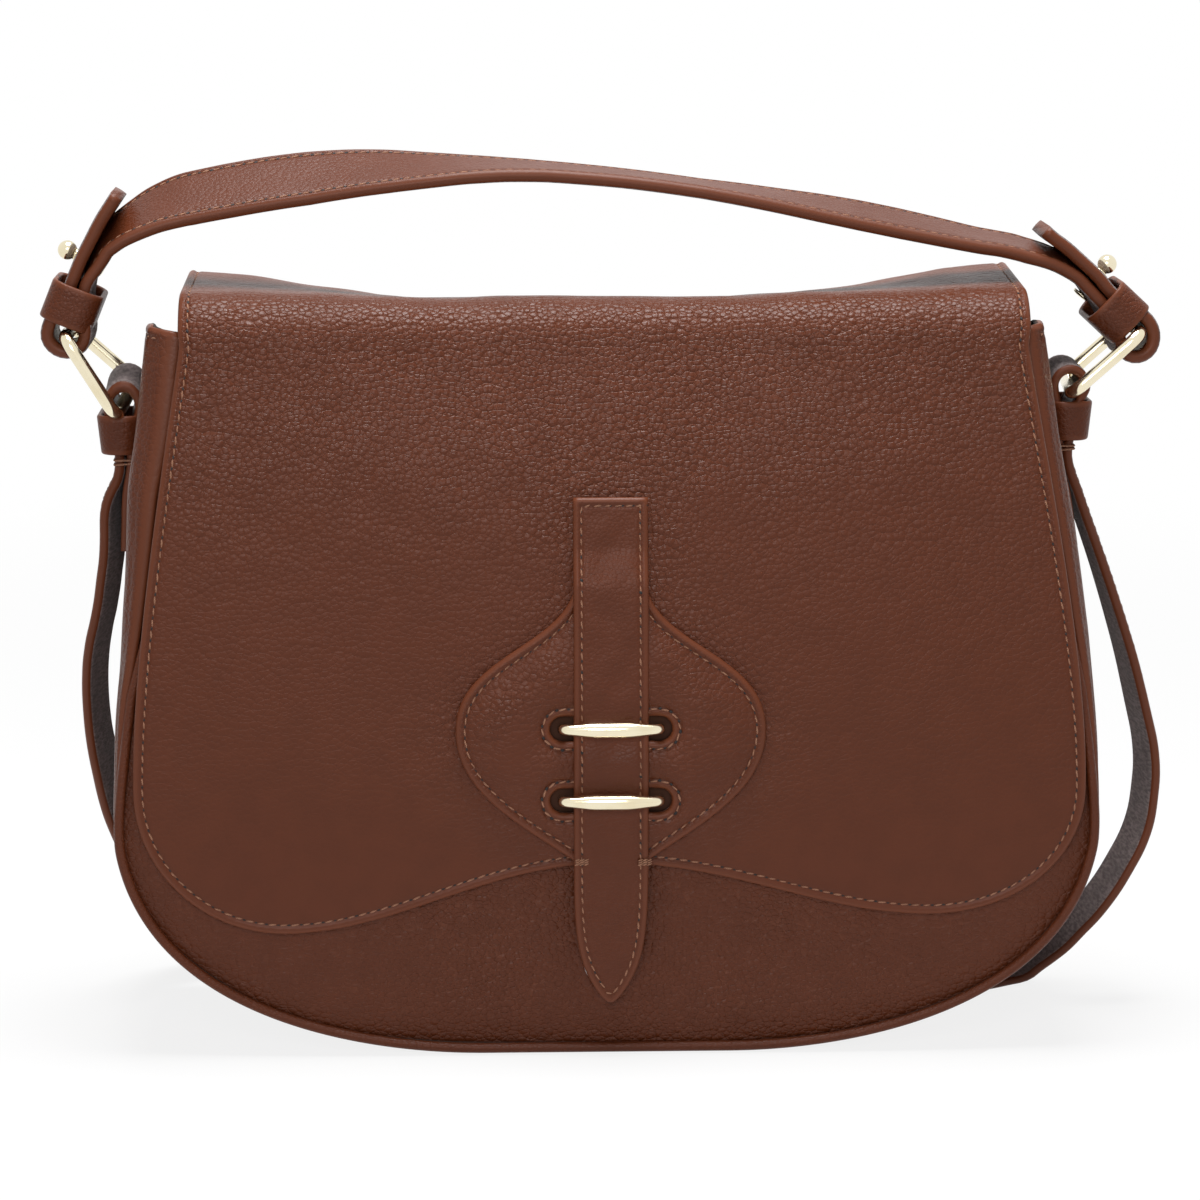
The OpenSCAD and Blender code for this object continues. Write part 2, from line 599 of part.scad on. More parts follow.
// Shoulder strap: a flat section swept along the route, its width kept towards +Y
module shoulder_strap() {
    n = len(ROUTE);
    w = shoulder_w / 2;
    t = shoulder_t / 2;
    section = [[w, t - 0.5], [w - 0.8, t], [0.8 - w, t], [-w, t - 0.5],
        [-w, 0.5 - t], [0.8 - w, -t], [w - 0.8, -t], [w, 0.5 - t]];
    k = len(section);
    pts = [for (i = [0:n - 1]) let (
            v = ROUTE[min(i + 1, n - 1)] - ROUTE[max(i - 1, 0)],
            d = i == 0 || i == n - 1 ? [0, 0, i == 0 ? -1 : 1] : v / norm(v),
            y = [0, 1, 0] - d.y * d,
            side = y / norm(y),
            face = cross(d, side))
        for (s = section) ROUTE[i] + s.x * side + s.y * face];
    walls = [for (i = [0:n - 2]) for (j = [0:k - 1]) let (a = i * k + j, b = i * k + (j + 1) % k)
        [a + k, b + k, b, a]];
    color(leather) polyhedron(pts, concat(walls, [[for (j = [0:k - 1]) j], [for (j = [k - 1:-1:0]) (n - 1) * k + j]]),
        convexity = 8);
}

front_panel();
back_panel();
gusset();
front_welt();
back_welt();
base_board();
lining();
inner_pocket();
magnet_socket();
magnet_backing();
side_tab_left();
side_tab_right();
tab_keeper_left();
tab_keeper_right();
flap_rear_shell();
flap_rear_lining();
flap_bridge_shell();
flap_bridge_lining();
flap_front_shell();
flap_front_lining();
closure_panel();
closure_strap();
loop_upper();
loop_lower();
loop_plate();
tongue_tip();
magnet_stud();
ring_left();
ring_right();
handle_strap();
handle_lining();
handle_keeper_left();
handle_keeper_right();
stud_ball_left();
stud_ball_right();
stud_screw_left();
stud_screw_right();
shoulder_strap();
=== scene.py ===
import math

import bpy
import numpy as np
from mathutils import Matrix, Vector
from mathutils.bvhtree import BVHTree
from mathutils.geometry import delaunay_2d_cdt


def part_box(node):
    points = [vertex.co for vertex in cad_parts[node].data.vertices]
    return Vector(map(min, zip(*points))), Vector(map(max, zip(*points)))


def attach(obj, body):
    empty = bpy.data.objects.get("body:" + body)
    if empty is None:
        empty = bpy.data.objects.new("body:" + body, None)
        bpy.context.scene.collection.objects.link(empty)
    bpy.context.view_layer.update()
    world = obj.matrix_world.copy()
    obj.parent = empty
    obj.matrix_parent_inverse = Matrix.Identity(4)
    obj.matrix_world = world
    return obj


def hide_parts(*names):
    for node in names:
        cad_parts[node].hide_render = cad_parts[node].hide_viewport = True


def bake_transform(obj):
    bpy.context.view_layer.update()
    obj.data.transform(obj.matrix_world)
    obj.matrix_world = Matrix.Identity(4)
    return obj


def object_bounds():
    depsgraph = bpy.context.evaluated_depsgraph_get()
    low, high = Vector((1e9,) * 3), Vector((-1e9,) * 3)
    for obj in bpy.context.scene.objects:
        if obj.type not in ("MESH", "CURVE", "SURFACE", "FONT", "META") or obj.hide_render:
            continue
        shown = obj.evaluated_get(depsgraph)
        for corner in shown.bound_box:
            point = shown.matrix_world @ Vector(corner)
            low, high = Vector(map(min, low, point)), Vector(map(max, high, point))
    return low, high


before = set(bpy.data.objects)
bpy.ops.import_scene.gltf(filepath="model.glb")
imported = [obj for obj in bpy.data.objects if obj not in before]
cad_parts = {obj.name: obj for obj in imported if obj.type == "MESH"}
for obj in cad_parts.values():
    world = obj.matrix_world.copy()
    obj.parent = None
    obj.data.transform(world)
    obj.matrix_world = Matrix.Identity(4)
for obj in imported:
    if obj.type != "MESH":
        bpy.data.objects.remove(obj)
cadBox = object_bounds()
scene = bpy.context.scene
mm = 0.001

# Camera, settled by the image points
cameraView = {"target": (-0.001, 0.0, 0.1238), "turn": -2.0, "rise": 10.0, "distance": 1.25,
              "lens": 130.0, "sensor": 36.0}
photo = {"width": 1200, "height": 1200}

# Places in the photograph; edges first, then the middles of what shows
imagePoints = {
    "studBallLeft": (67, 249), "studBallRight": (1107, 264), "loopUpper": (613, 730), "loopLower": (613, 802),
    "ringLeft": (96, 374), "ringRight": (1103, 361), "tabKeeperLeft": (116, 431), "tabKeeperRight": (1072, 420),
    "tackLeft": (582, 862), "tackRight": (645, 862), "spadePanel": (611, 726), "closureStrap": (611, 749),
}


def makeCamera(look):
    data = bpy.data.cameras.new("camera")
    data.lens, data.sensor_width, data.sensor_fit = look["lens"], look["sensor"], "AUTO"
    data.clip_start, data.clip_end = 0.05, 20
    camera = bpy.data.objects.new("camera", data)
    scene.collection.objects.link(camera)
    turn, rise = math.radians(look["turn"]), math.radians(look["rise"])
    back = Vector((math.sin(turn) * math.cos(rise), -math.cos(turn) * math.cos(rise), math.sin(rise)))
    camera.location = Vector(look["target"]) + back * look["distance"]
    camera.rotation_euler = (-back).to_track_quat("-Z", "Y").to_euler()
    scene.camera = camera
    bpy.context.view_layer.update()
    return camera


camera = makeCamera(cameraView)


def rayThrough(x, y):
    data, longSide = camera.data, max(photo["width"], photo["height"])
    right = x - photo["width"] / 2 + data.shift_x * longSide
    up = photo["height"] / 2 - y + data.shift_y * longSide
    local = Vector((right, up, -longSide * data.lens / data.sensor_width))
    return camera.matrix_world.translation, (camera.matrix_world.to_3x3() @ local).normalized()


def shownAt(points):
    data, longSide = camera.data, max(photo["width"], photo["height"])
    turned = np.array(camera.matrix_world.inverted())
    local = np.asarray(points) @ turned[:3, :3].T + turned[:3, 3]
    reach = longSide * data.lens / data.sensor_width / -local[:, 2]
    return np.stack([local[:, 0] * reach + photo["width"] / 2 - data.shift_x * longSide,
                     photo["height"] / 2 - local[:, 1] * reach + data.shift_y * longSide], 1)


def treeOf(objects):
    points, faces = [], []
    for piece in objects:
        start = len(points)
        points += [piece.matrix_world @ v.co for v in piece.data.vertices]
        faces += [[start + i for i in p.vertices] for p in piece.data.polygons]
    return BVHTree.FromPolygons(points, faces)


# Where the photograph's point lies on the carriers: place and outward direction
def placeOn(point, carriers):
    tree = treeOf(carriers)
    start, direction = rayThrough(*point)
    place, outward, _, _ = tree.ray_cast(start, direction)
    if place is None:
        along = start + direction * cameraView["distance"]
        place, outward, _, _ = tree.find_nearest(along)
    return place, outward if outward.dot(direction) < 0 else -outward


def lerp(a, b, share):
    return a + (b - a) * share


def smooth(value, low, high):
    t = np.clip((np.asarray(value, float) - low) / (high - low), 0, 1)
    return t * t * (3 - 2 * t)


def bell(value, middle, width):
    return np.exp(-(((np.asarray(value, float) - middle) / width) ** 2))


def unit(v):
    v = np.asarray(v, float)
    return v / np.maximum(np.linalg.norm(v, axis=-1, keepdims=True), 1e-12)


# Soft noise from a few fixed waves, about -1 to 1
def waves(seed, size, *places):
    rng = np.random.default_rng(seed)
    total = 0
    for _ in range(6):
        turn = rng.normal(size=len(places))
        turn = turn / np.linalg.norm(turn) * rng.uniform(0.7, 1.6) * 2 * math.pi / size
        total = total + np.sin(sum(t * p for t, p in zip(turn, places)) + rng.uniform(0, 6.3))
    return total / 3.4


def bezier(a, b, c, d, count):
    t = np.linspace(0, 1, count + 1)[:, None]
    s = 1 - t
    a, b, c, d = (np.array(p) for p in (a, b, c, d))
    return s**3 * a + 3 * s * s * t * b + 3 * s * t * t * c + t**3 * d


def joined(*curves):
    return np.concatenate([curves[0]] + [c[1:] for c in curves[1:]])


# How far along the path each of its points lies
def runOf(path):
    return np.concatenate([[0], np.cumsum(np.linalg.norm(np.diff(path, axis=0), axis=1))])


# The rows of a table at places along its run
def rowsAt(places, run, table):
    return np.stack([np.interp(places, run, column) for column in table.T], 1)


def resampled(path, step, closed=False):
    path = np.asarray(path, float)
    if closed:
        path = np.concatenate([path, path[:1]])
    lengths = runOf(path)
    count = max(2, int(round(lengths[-1] / step)))
    made = rowsAt(np.linspace(0, lengths[-1], count + 1), lengths, path)
    return made[:-1] if closed else made


# A smooth curve through given points
def throughPoints(points, step):
    p = np.asarray(points, float)
    p = np.concatenate([[2 * p[0] - p[1]], p, [2 * p[-1] - p[-2]]])
    out = []
    for i in range(1, len(p) - 2):
        t = np.linspace(0, 1, 12, endpoint=False)[:, None]
        m0, m1 = (p[i + 1] - p[i - 1]) / 2, (p[i + 2] - p[i]) / 2
        out.append((2 * t**3 - 3 * t**2 + 1) * p[i] + (t**3 - 2 * t**2 + t) * m0
                   + (-2 * t**3 + 3 * t**2) * p[i + 1] + (t**3 - t**2) * m1)
    return resampled(np.concatenate(out + [p[-2:-1]]), step)


def tangents(path, closed=False):
    if closed:
        return unit(np.roll(path, -1, 0) - np.roll(path, 1, 0))
    return unit(np.gradient(path, axis=0))


# A strip's side direction, square to its path
def squared(side, along):
    side = np.broadcast_to(side, along.shape)
    return unit(side - along * np.sum(side * along, axis=1, keepdims=True))


# A flat path's direction to its right
def rightOf(path, closed=False):
    along = tangents(path, closed)
    return np.stack([along[:, 1], -along[:, 0]], 1)


def offsetLine(path, inset, closed=False):
    return path + rightOf(path, closed) * np.reshape(inset, (-1, 1))


def insideOf(points, outline):
    x, y = points[:, 0], points[:, 1]
    found = np.zeros(len(points), bool)
    for a, b in zip(outline, np.roll(outline, -1, 0)):
        if a[1] == b[1]:
            continue
        crosses = (a[1] > y) != (b[1] > y)
        found ^= crosses & (x < (b[0] - a[0]) * (y - a[1]) / (b[1] - a[1]) + a[0])
    return found


def insideCut(points, outline, holes):
    return insideOf(points, outline) & ~np.any([insideOf(points, hole) for hole in holes], axis=0)


def distanceTo(points, line, closed=True):
    starts = line if closed else line[:-1]
    spans = (np.roll(line, -1, 0) if closed else line[1:]) - starts
    best = np.full(len(points), 1e9)
    for a, d in zip(starts, spans):
        t = np.clip(((points - a) @ d) / max(d @ d, 1e-16), 0, 1)
        best = np.minimum(best, np.linalg.norm(points - a - t[:, None] * d, axis=1))
    return best


def vertexNormals(points, triangles):
    corner = points[triangles]
    flat = np.cross(corner[:, 1] - corner[:, 0], corner[:, 2] - corner[:, 0])
    total = np.zeros_like(points)
    for i in range(3):
        np.add.at(total, triangles[:, i], flat)
    return unit(total)


# New numbers for the points that are kept
def renumbered(used, count):
    numbers = np.full(count, -1)
    numbers[used] = np.arange(len(used))
    return numbers


def makePiece(name, points, faces, finishes, finishIndex=None, attributes=None, uv=None):
    mesh = bpy.data.meshes.new(name)
    mesh.from_pydata([tuple(p) for p in points], [], [tuple(int(i) for i in f) for f in faces])
    mesh.polygons.foreach_set("use_smooth", [True] * len(mesh.polygons))
    for finish in finishes:
        mesh.materials.append(finish)
    if finishIndex is not None:
        mesh.polygons.foreach_set("material_index", np.asarray(finishIndex, np.int32))
    for key, values in (attributes or {}).items():
        layer = mesh.attributes.new(key, "FLOAT", "POINT")
        layer.data.foreach_set("value", np.asarray(values, np.float32))
    if uv is not None:
        layer = mesh.uv_layers.new(name="UVMap")
        at = np.zeros(len(mesh.loops), np.int32)
        mesh.loops.foreach_get("vertex_index", at)
        layer.data.foreach_set("uv", np.asarray(uv, np.float32)[at].ravel())
    mesh.validate()
    mesh.update()
    piece = bpy.data.objects.new(name, mesh)
    scene.collection.objects.link(piece)
    return piece


def meshPoints(piece):
    points = np.zeros(len(piece.data.vertices) * 3, np.float32)
    piece.data.vertices.foreach_get("co", points)
    return points.reshape(-1, 3)


# A finished mesh bent by a rule on its points
def reshape(piece, rule):
    piece.data.vertices.foreach_set("co", np.asarray(rule(meshPoints(piece)), np.float32).ravel())
    piece.data.update()


# How far the surface drops towards a rounded edge
def roundDrop(distance, radius):
    near = np.clip(1 - distance / radius, 0, 1)
    return radius * (1 - np.sqrt(1 - near * near))


# The seam's shape near an edge: a rolled rim outside the row of stitches and a groove under them
def seamRelief(distance, seam):
    if not seam:
        return np.zeros_like(distance)
    groove = -seam["deep"] * bell(distance, seam["inset"], seam.get("wide", 0.00055))
    rim = seam.get("rim", 0.00012) * bell(distance, seam["inset"] * 0.52, 0.0007)
    return groove + rim + seam.get("swell", 0) * smooth(distance, seam["inset"], seam["inset"] + 0.006)


def inwardOf(outline):
    area = sum(a[0] * b[1] - b[0] * a[1] for a, b in zip(outline, np.roll(outline, -1, 0)))
    return -1 if area > 0 else 1


# How far in from the edges, in millimetres, a sheet has rows of points of its own
edgeRows = (0.12, 0.3, 0.6, 0.95, 1.4, 1.9, 2.3, 2.6, 2.9, 3.3, 3.9, 4.8)


# A leather sheet from a flat cut: rounded edges, a seam relief, an outer and an inner face
def sheetShape(cut):
    outline = resampled(cut["outline"], cut.get("edgeStep", 0.0013), True)
    row = cut.get("row")
    if row is not None:
        for way in (-1, 1):
            near = np.abs(outline[:, 1] - row) + (outline[:, 0] * way < 0)
            outline[np.argmin(near), 1] = row
    holes = [resampled(h, 0.0008, True) for h in cut.get("holes", [])]
    lines = [outline] + holes
    insets = [i * mm for i in cut.get("insets", edgeRows)]
    step = cut.get("step", 0.002)
    inward = inwardOf(outline)
    inner = []
    for line in lines:
        for inset in insets:
            for way in ([inward] if line is outline else [1, -1]):
                ring = offsetLine(line, way * inset, True)
                inner.append(ring[np.min([distanceTo(ring, o) for o in lines], 0) > inset * 0.94])
    low, high = outline.min(0), outline.max(0)
    for i, v in enumerate(np.arange(low[1], high[1], step * 0.866)):
        across = np.arange(low[0] + (i % 2) * step / 2, high[0], step)
        line = np.stack([across, np.full(len(across), v)], 1)
        inner.append(line[np.min([distanceTo(line, o) for o in lines], 0) > insets[-1] + step * 0.55])
    inner = np.concatenate(inner)
    if row is not None:
        inner = inner[np.abs(inner[:, 1] - row) > 0.0007]
        half = outline[np.abs(outline[:, 1] - row) < 1e-9][:, 0].max()
        across = np.concatenate([half - np.array(insets), np.arange(0, half - insets[-1] - 0.0005, 0.0011)])
        across = np.concatenate([across, -across[across > 0]])
        inner = np.concatenate([inner, np.stack([across, np.full(len(across), row)], 1)])
    flat = np.concatenate(lines + [inner[insideCut(inner, outline, holes)]])
    loops, at = [], 0
    for line in lines:
        loops.append(list(range(at, at + len(line))))
        at += len(line)
    got = delaunay_2d_cdt([Vector(p) for p in flat], [], loops, 0, 1e-9)
    flat = np.array([tuple(v) for v in got[0]])
    tri = np.array(got[2], int)
    tri = tri[insideCut(flat[tri].mean(1), outline, holes)]
    used = np.unique(tri)
    flat, tri = flat[used], renumbered(used, len(flat))[tri]
    gap = np.min([distanceTo(flat, o) for o in lines], 0)
    gap[gap < 2e-6] = 0
    base = cut["surface"](flat[:, 0], flat[:, 1])
    normal = vertexNormals(base, tri)
    if np.mean(np.sum(normal * cut["facing"](flat[:, 0], flat[:, 1]), axis=1)) < 0:
        tri, normal = tri[:, ::-1], -normal
    thick, radius = cut["thick"], cut.get("radius", cut["thick"] * 0.6)
    over = seamRelief(gap, cut.get("seam"))
    if "relief" in cut:
        over = over + cut["relief"](flat[:, 0], flat[:, 1], gap)
    outer = base + normal * (over - roundDrop(gap, radius))[:, None]
    under = base - normal * (thick - roundDrop(gap, thick - radius))[:, None]
    kept = gap > 0
    innerIndex = np.where(kept, np.cumsum(kept) - 1 + len(flat), np.arange(len(flat)))
    grain = cut["grain"](flat[:, 0], flat[:, 1], gap) if "grain" in cut else 1.0
    twice = lambda values: np.concatenate([values, values[kept]])
    return {"points": np.concatenate([outer, under[kept]]),
            "faces": np.concatenate([tri, innerIndex[tri][:, ::-1]]),
            "lower": np.repeat([0, 1], len(tri)), "flat": twice(flat), "under": innerIndex,
            "attributes": {"edgeDist": twice(gap), "grain": twice(grain * np.ones(len(flat)))}}


def sheet(name, cut, finishes):
    shape = sheetShape(cut)
    return makePiece(name, shape["points"], shape["faces"], finishes, shape["lower"] * (len(finishes) - 1),
                     shape["attributes"], shape["flat"])


# One sheet parted along a row of its flat cut into two closed pieces, with the shading of the whole
def partedSheet(names, cut, finishes):
    shape = sheetShape(cut)
    points, faces, flat, under = shape["points"], shape["faces"], shape["flat"], shape["under"]
    normals = vertexNormals(points, faces)
    top = np.nonzero(np.abs(flat[:len(under), 1] - cut["row"]) < 1e-7)[0]
    top = top[np.argsort(flat[top, 0])]
    pieces = []
    for name, beyond in zip(names, (True, False)):
        keep = (flat[faces][:, :, 1].mean(1) > cut["row"]) == beyond
        edges = {(a, b) for f in faces[keep].tolist() for a, b in zip(f, f[1:] + f[:1])}
        cap = []
        for a, b in zip(top[:-1].tolist(), top[1:].tolist()):
            if (a, b) not in edges:
                a, b = b, a
            quad = [b, a, int(under[a]), int(under[b])]
            cap.append([q for i, q in enumerate(quad) if q not in quad[:i]])
        rows = faces[keep].tolist() + cap
        used = np.unique(np.concatenate([np.array(r) for r in rows]))
        renumber = renumbered(used, len(points))
        lower = np.concatenate([shape["lower"][keep], np.zeros(len(cap), int)]) * (len(finishes) - 1)
        piece = makePiece(name, points[used], [renumber[r] for r in rows], finishes, lower,
                          {key: values[used] for key, values in shape["attributes"].items()}, flat[used])
        piece.data.normals_split_custom_set_from_vertices([tuple(n) for n in normals[used]])
        pieces.append(piece)
    return pieces


# Places of a seam row on a sheet: points on the finished surface and their outward directions
def onSheet(cut, line, sink=0.0):
    step = 1e-4
    u, v = line[:, 0], line[:, 1]
    at = cut["surface"](u, v)
    normal = unit(np.cross(cut["surface"](u + step, v) - at, cut["surface"](u, v + step) - at))
    facing = cut["facing"](u, v)
    normal *= np.sign(np.sum(normal * facing, axis=1, keepdims=True))
    edges = [resampled(o, 0.001, True) for o in [cut["outline"]] + cut.get("holes", [])]
    gap = np.min([distanceTo(line, o) for o in edges], 0)
    over = seamRelief(gap, cut.get("seam"))
    if "relief" in cut:
        over = over + cut["relief"](u, v, gap)
    return at + normal * (over - sink)[:, None], normal


# A profile carried along a path: side is the profile's first axis
def sweep(name, path, side, profile, finishes, closed=False, index=None, attributes=None):
    path = np.asarray(path, float)
    count, around = len(path), profile.shape[-2]
    profile = np.broadcast_to(profile, (count, around, 2))
    along = tangents(path, closed)
    side = squared(side, along)
    up = np.cross(along, side)
    points = path[:, None] + profile[..., :1] * side[:, None] + profile[..., 1:] * up[:, None]
    points = points.reshape(-1, 3)
    i, j = np.meshgrid(np.arange(count if closed else count - 1), np.arange(around), indexing="ij")
    i, j = i.ravel(), j.ravel()
    k, l = (i + 1) % count, (j + 1) % around
    faces = np.stack([i * around + j, i * around + l, k * around + l, k * around + j], 1)
    if not closed:
        ends = [list(range(around))[::-1], [(count - 1) * around + q for q in range(around)]]
    else:
        ends = []
    tall = np.concatenate([faces[:, [0, 1, 2]], faces[:, [0, 2, 3]]])
    for ring in ends:
        tall = np.concatenate([tall, [[ring[0], ring[q], ring[q + 1]] for q in range(1, around - 1)]])
    corner = points[tall]
    volume = np.sum(np.cross(corner[:, 0], corner[:, 1]) * corner[:, 2])
    rows = [tuple(f) for f in faces] + [tuple(e) for e in ends]
    if volume < 0:
        rows = [r[::-1] for r in rows]
    lengths, wrap = runOf(path), runOf(profile[0])
    uv = np.stack([np.tile(wrap, count), np.repeat(lengths, around)], 1)
    finishIndex = None
    if index is not None:
        finishIndex = np.concatenate([index[j], np.zeros(len(ends))])
    flat = {key: np.broadcast_to(v, (count, around)).ravel() for key, v in (attributes or {}).items()}
    return makePiece(name, points, rows, finishes, finishIndex, flat, uv)


def roundProfile(radius, count):
    a = np.linspace(0, 2 * math.pi, count, endpoint=False)
    return np.stack([np.cos(a) * radius, np.sin(a) * radius], 1)


# Rounded rectangle as a closed path in its own plane
def roundedLoop(halfWide, halfTall, radius, count=8):
    parts = []
    for k, (sx, sy) in enumerate([(1, 1), (-1, 1), (-1, -1), (1, -1)]):
        a = np.linspace(k * math.pi / 2, (k + 1) * math.pi / 2, count)
        parts.append(np.stack([sx * (halfWide - radius) + radius * np.cos(a),
                               sy * (halfTall - radius) + radius * np.sin(a)], 1))
    return np.concatenate(parts)


# A strap's section, its points' distances from the edges and the count of those on top: width along the
# first axis, rounded edges, seam grooves on top
def strapProfile(strap):
    half, thick = strap["wide"] / 2, strap["thick"]
    near = np.array([0, 0.08, 0.2, 0.4, 0.7, 1.1, 1.5, 1.9, 2.2, 2.45, 2.8, 3.3, 4.2]) * mm
    near = near[near < half * 0.92]
    middle = np.linspace(-half + 5.5 * mm, half - 5.5 * mm, 5) if half > 6 * mm else [0]
    across = np.concatenate([-half + near, middle, (half - near)[::-1]])
    gap = half - np.abs(across)
    drop = roundDrop(gap, thick / 2)
    over = seamRelief(gap, strap.get("seam"))
    top = np.stack([across, thick / 2 - drop + over], 1)
    low = np.stack([across, -thick / 2 + drop], 1)[1:-1][::-1]
    return np.concatenate([top, low]), np.concatenate([gap, gap[1:-1][::-1]]), len(across)


class Wire:
    def __init__(self, graph, socket):
        self.graph, self.socket = graph, socket

    def maths(self, operation, other, flipped=False):
        first, second = (other, self) if flipped else (self, other)
        return self.graph.node("ShaderNodeMath", {"operation": operation}, {0: first, 1: second})

    def __add__(self, other):
        return self.maths("ADD", other)

    def __radd__(self, other):
        return self.maths("ADD", other, True)

    def __sub__(self, other):
        return self.maths("SUBTRACT", other)

    def __rsub__(self, other):
        return self.maths("SUBTRACT", other, True)

    def __mul__(self, other):
        return self.maths("MULTIPLY", other)

    def __rmul__(self, other):
        return self.maths("MULTIPLY", other, True)

    def __pow__(self, other):
        return self.maths("POWER", other)


class Graph:
    def __init__(self, tree):
        self.tree = tree

    def node(self, kind, settings=None, values=None, out=0):
        made = self.tree.nodes.new(kind)
        for key, value in (settings or {}).items():
            setattr(made, key, value)
        for key, value in (values or {}).items():
            if isinstance(value, Wire):
                self.tree.links.new(value.socket, made.inputs[key])
            else:
                made.inputs[key].default_value = value
        return Wire(self, made.outputs[out])

    def noise(self, place, scale, detail, out=0):
        return self.node("ShaderNodeTexNoise", {},
                         {"Vector": place, "Scale": scale, "Detail": detail}, out)

    def bump(self, strength, distance, height):
        return self.node("ShaderNodeBump", {},
                         {"Strength": strength, "Distance": distance, "Height": height})

    def step(self, value, low, high):
        return self.node("ShaderNodeMapRange", {"interpolation_type": "SMOOTHSTEP"},
                         {"Value": value, "From Min": low, "From Max": high, "To Min": 0.0, "To Max": 1.0})

    def blend(self, share, first, second):
        return self.node("ShaderNodeMix", {"data_type": "RGBA"}, {0: share, 6: first, 7: second}, 2)


# Linear colours from a look's shades as they are seen, 0 to 255
def tints(look, *keys):
    linear = lambda c: c / 12.92 if c <= 0.04045 else ((c + 0.055) / 1.055) ** 2.4
    return [(*(linear(shade / 255) for shade in look[key]), 1) for key in keys]


def newMaterial(name):
    material = bpy.data.materials.new(name)
    material.use_nodes = True
    graph = Graph(material.node_tree)
    graph.tree.nodes.clear()
    surface = graph.tree.nodes.new("ShaderNodeBsdfPrincipled")
    end = graph.tree.nodes.new("ShaderNodeOutputMaterial")
    graph.tree.links.new(surface.outputs[0], end.inputs[0])
    return material, graph, surface.inputs


def linkTo(graph, socket, wire):
    graph.tree.links.new(wire.socket, socket)


def leatherFinish(name, look):
    material, graph, shader = newMaterial(name)
    place = graph.node("ShaderNodeTexCoord", out="Object")
    drift = graph.noise(place, 260.0, 2.0, 1)
    moved = graph.node("ShaderNodeVectorMath", {"operation": "MULTIPLY_ADD"},
                       {0: drift, 1: (look["drift"],) * 3, 2: place})
    long = graph.node("ShaderNodeMapping", {}, {"Vector": moved, "Scale": look["stretch"]})
    cells = graph.node("ShaderNodeTexVoronoi", {"feature": "SMOOTH_F1"},
                       {"Vector": long, "Scale": 1 / look["cell"], "Smoothness": 0.25})
    edges = graph.node("ShaderNodeTexVoronoi", {"feature": "DISTANCE_TO_EDGE"},
                       {"Vector": long, "Scale": 1 / look["cell"]})
    small = graph.node("ShaderNodeTexVoronoi", {"feature": "SMOOTH_F1"},
                       {"Vector": long, "Scale": 2.1 / look["cell"], "Smoothness": 0.3})
    pores = graph.noise(place, 2400.0, 3.0)
    ripple = graph.noise(place, 90.0, 2.0)
    broad = graph.noise(place, 38.0, 2.0)
    mottle = graph.noise(place, 120.0, 4.0)
    pebble = 1 - (cells * 1.15) ** 2.0
    fine = 1 - small
    valley = 1 - graph.step(edges, 0.0, 0.11)
    grain = graph.node("ShaderNodeAttribute", {"attribute_name": "grain"}, out="Fac")
    gap = graph.node("ShaderNodeAttribute", {"attribute_name": "edgeDist"}, out="Fac")
    inner = graph.step(gap, 0.0008, 0.0019)
    amount = grain * (0.45 + 1.1 * broad) * (0.15 + 0.85 * inner)
    height = amount * (0.85 * pebble - 0.3 * valley + 0.3 * fine) + 0.05 * pores + look["crease"] * ripple
    bump = graph.bump(1.0, look["depth"], height)
    base, dark, rim, light = tints(look, "colour", "deep", "rim", "light")
    colour = graph.blend(graph.step(mottle, 0.32, 0.72) * 0.4, base, dark)
    colour = graph.blend(valley * amount * look["lines"], colour, light)
    colour = graph.blend((1 - inner) * look["rimShare"], colour, rim)
    linkTo(graph, shader["Base Color"], colour)
    linkTo(graph, shader["Roughness"], look["rough"] + 0.14 * mottle - 0.05 * pebble * amount)
    linkTo(graph, shader["Normal"], bump)
    shader["Specular IOR Level"].default_value = look["shine"]
    return material


def suedeFinish(name, look):
    material, graph, shader = newMaterial(name)
    place = graph.node("ShaderNodeTexCoord", out="Object")
    nap = graph.node("ShaderNodeTexNoise", {},
                     {"Vector": place, "Scale": 1500.0, "Detail": 5.0, "Roughness": 0.7})
    brushed = graph.node("ShaderNodeMapping", {}, {"Vector": place, "Scale": (1.0, 0.35, 1.6)})
    fibres = graph.noise(brushed, 900.0, 4.0)
    patches = graph.noise(place, 90.0, 3.0)
    base, dark = tints(look, "colour", "deep")
    colour = graph.blend(graph.step(fibres, 0.3, 0.7), dark, base)
    colour = graph.blend(graph.step(patches, 0.35, 0.7) * 0.4, colour, dark)
    bump = graph.bump(0.9, look["depth"], nap + 0.8 * fibres)
    linkTo(graph, shader["Base Color"], colour)
    linkTo(graph, shader["Roughness"], 0.82 + 0.15 * nap)
    linkTo(graph, shader["Normal"], bump)
    shader["Specular IOR Level"].default_value = 0.25
    shader["Sheen Weight"].default_value = look["sheen"]
    return material


def metalFinish(name, look):
    material, graph, shader = newMaterial(name)
    place = graph.node("ShaderNodeTexCoord", out="Object")
    haze = graph.noise(place, 140.0, 3.0)
    lines = graph.node("ShaderNodeMapping", {}, {"Vector": place, "Scale": look["brush"]})
    hair = graph.noise(lines, 2200.0, 2.0)
    base, warm = tints(look, "colour", "warm")
    linkTo(graph, shader["Base Color"], graph.blend(graph.step(haze, 0.3, 0.8) * 0.5, base, warm))
    linkTo(graph, shader["Roughness"], look["rough"] + 0.06 * haze + 0.03 * hair)
    bump = graph.bump(0.4, look["depth"], hair)
    linkTo(graph, shader["Normal"], bump)
    shader["Metallic"].default_value = 1.0
    return material


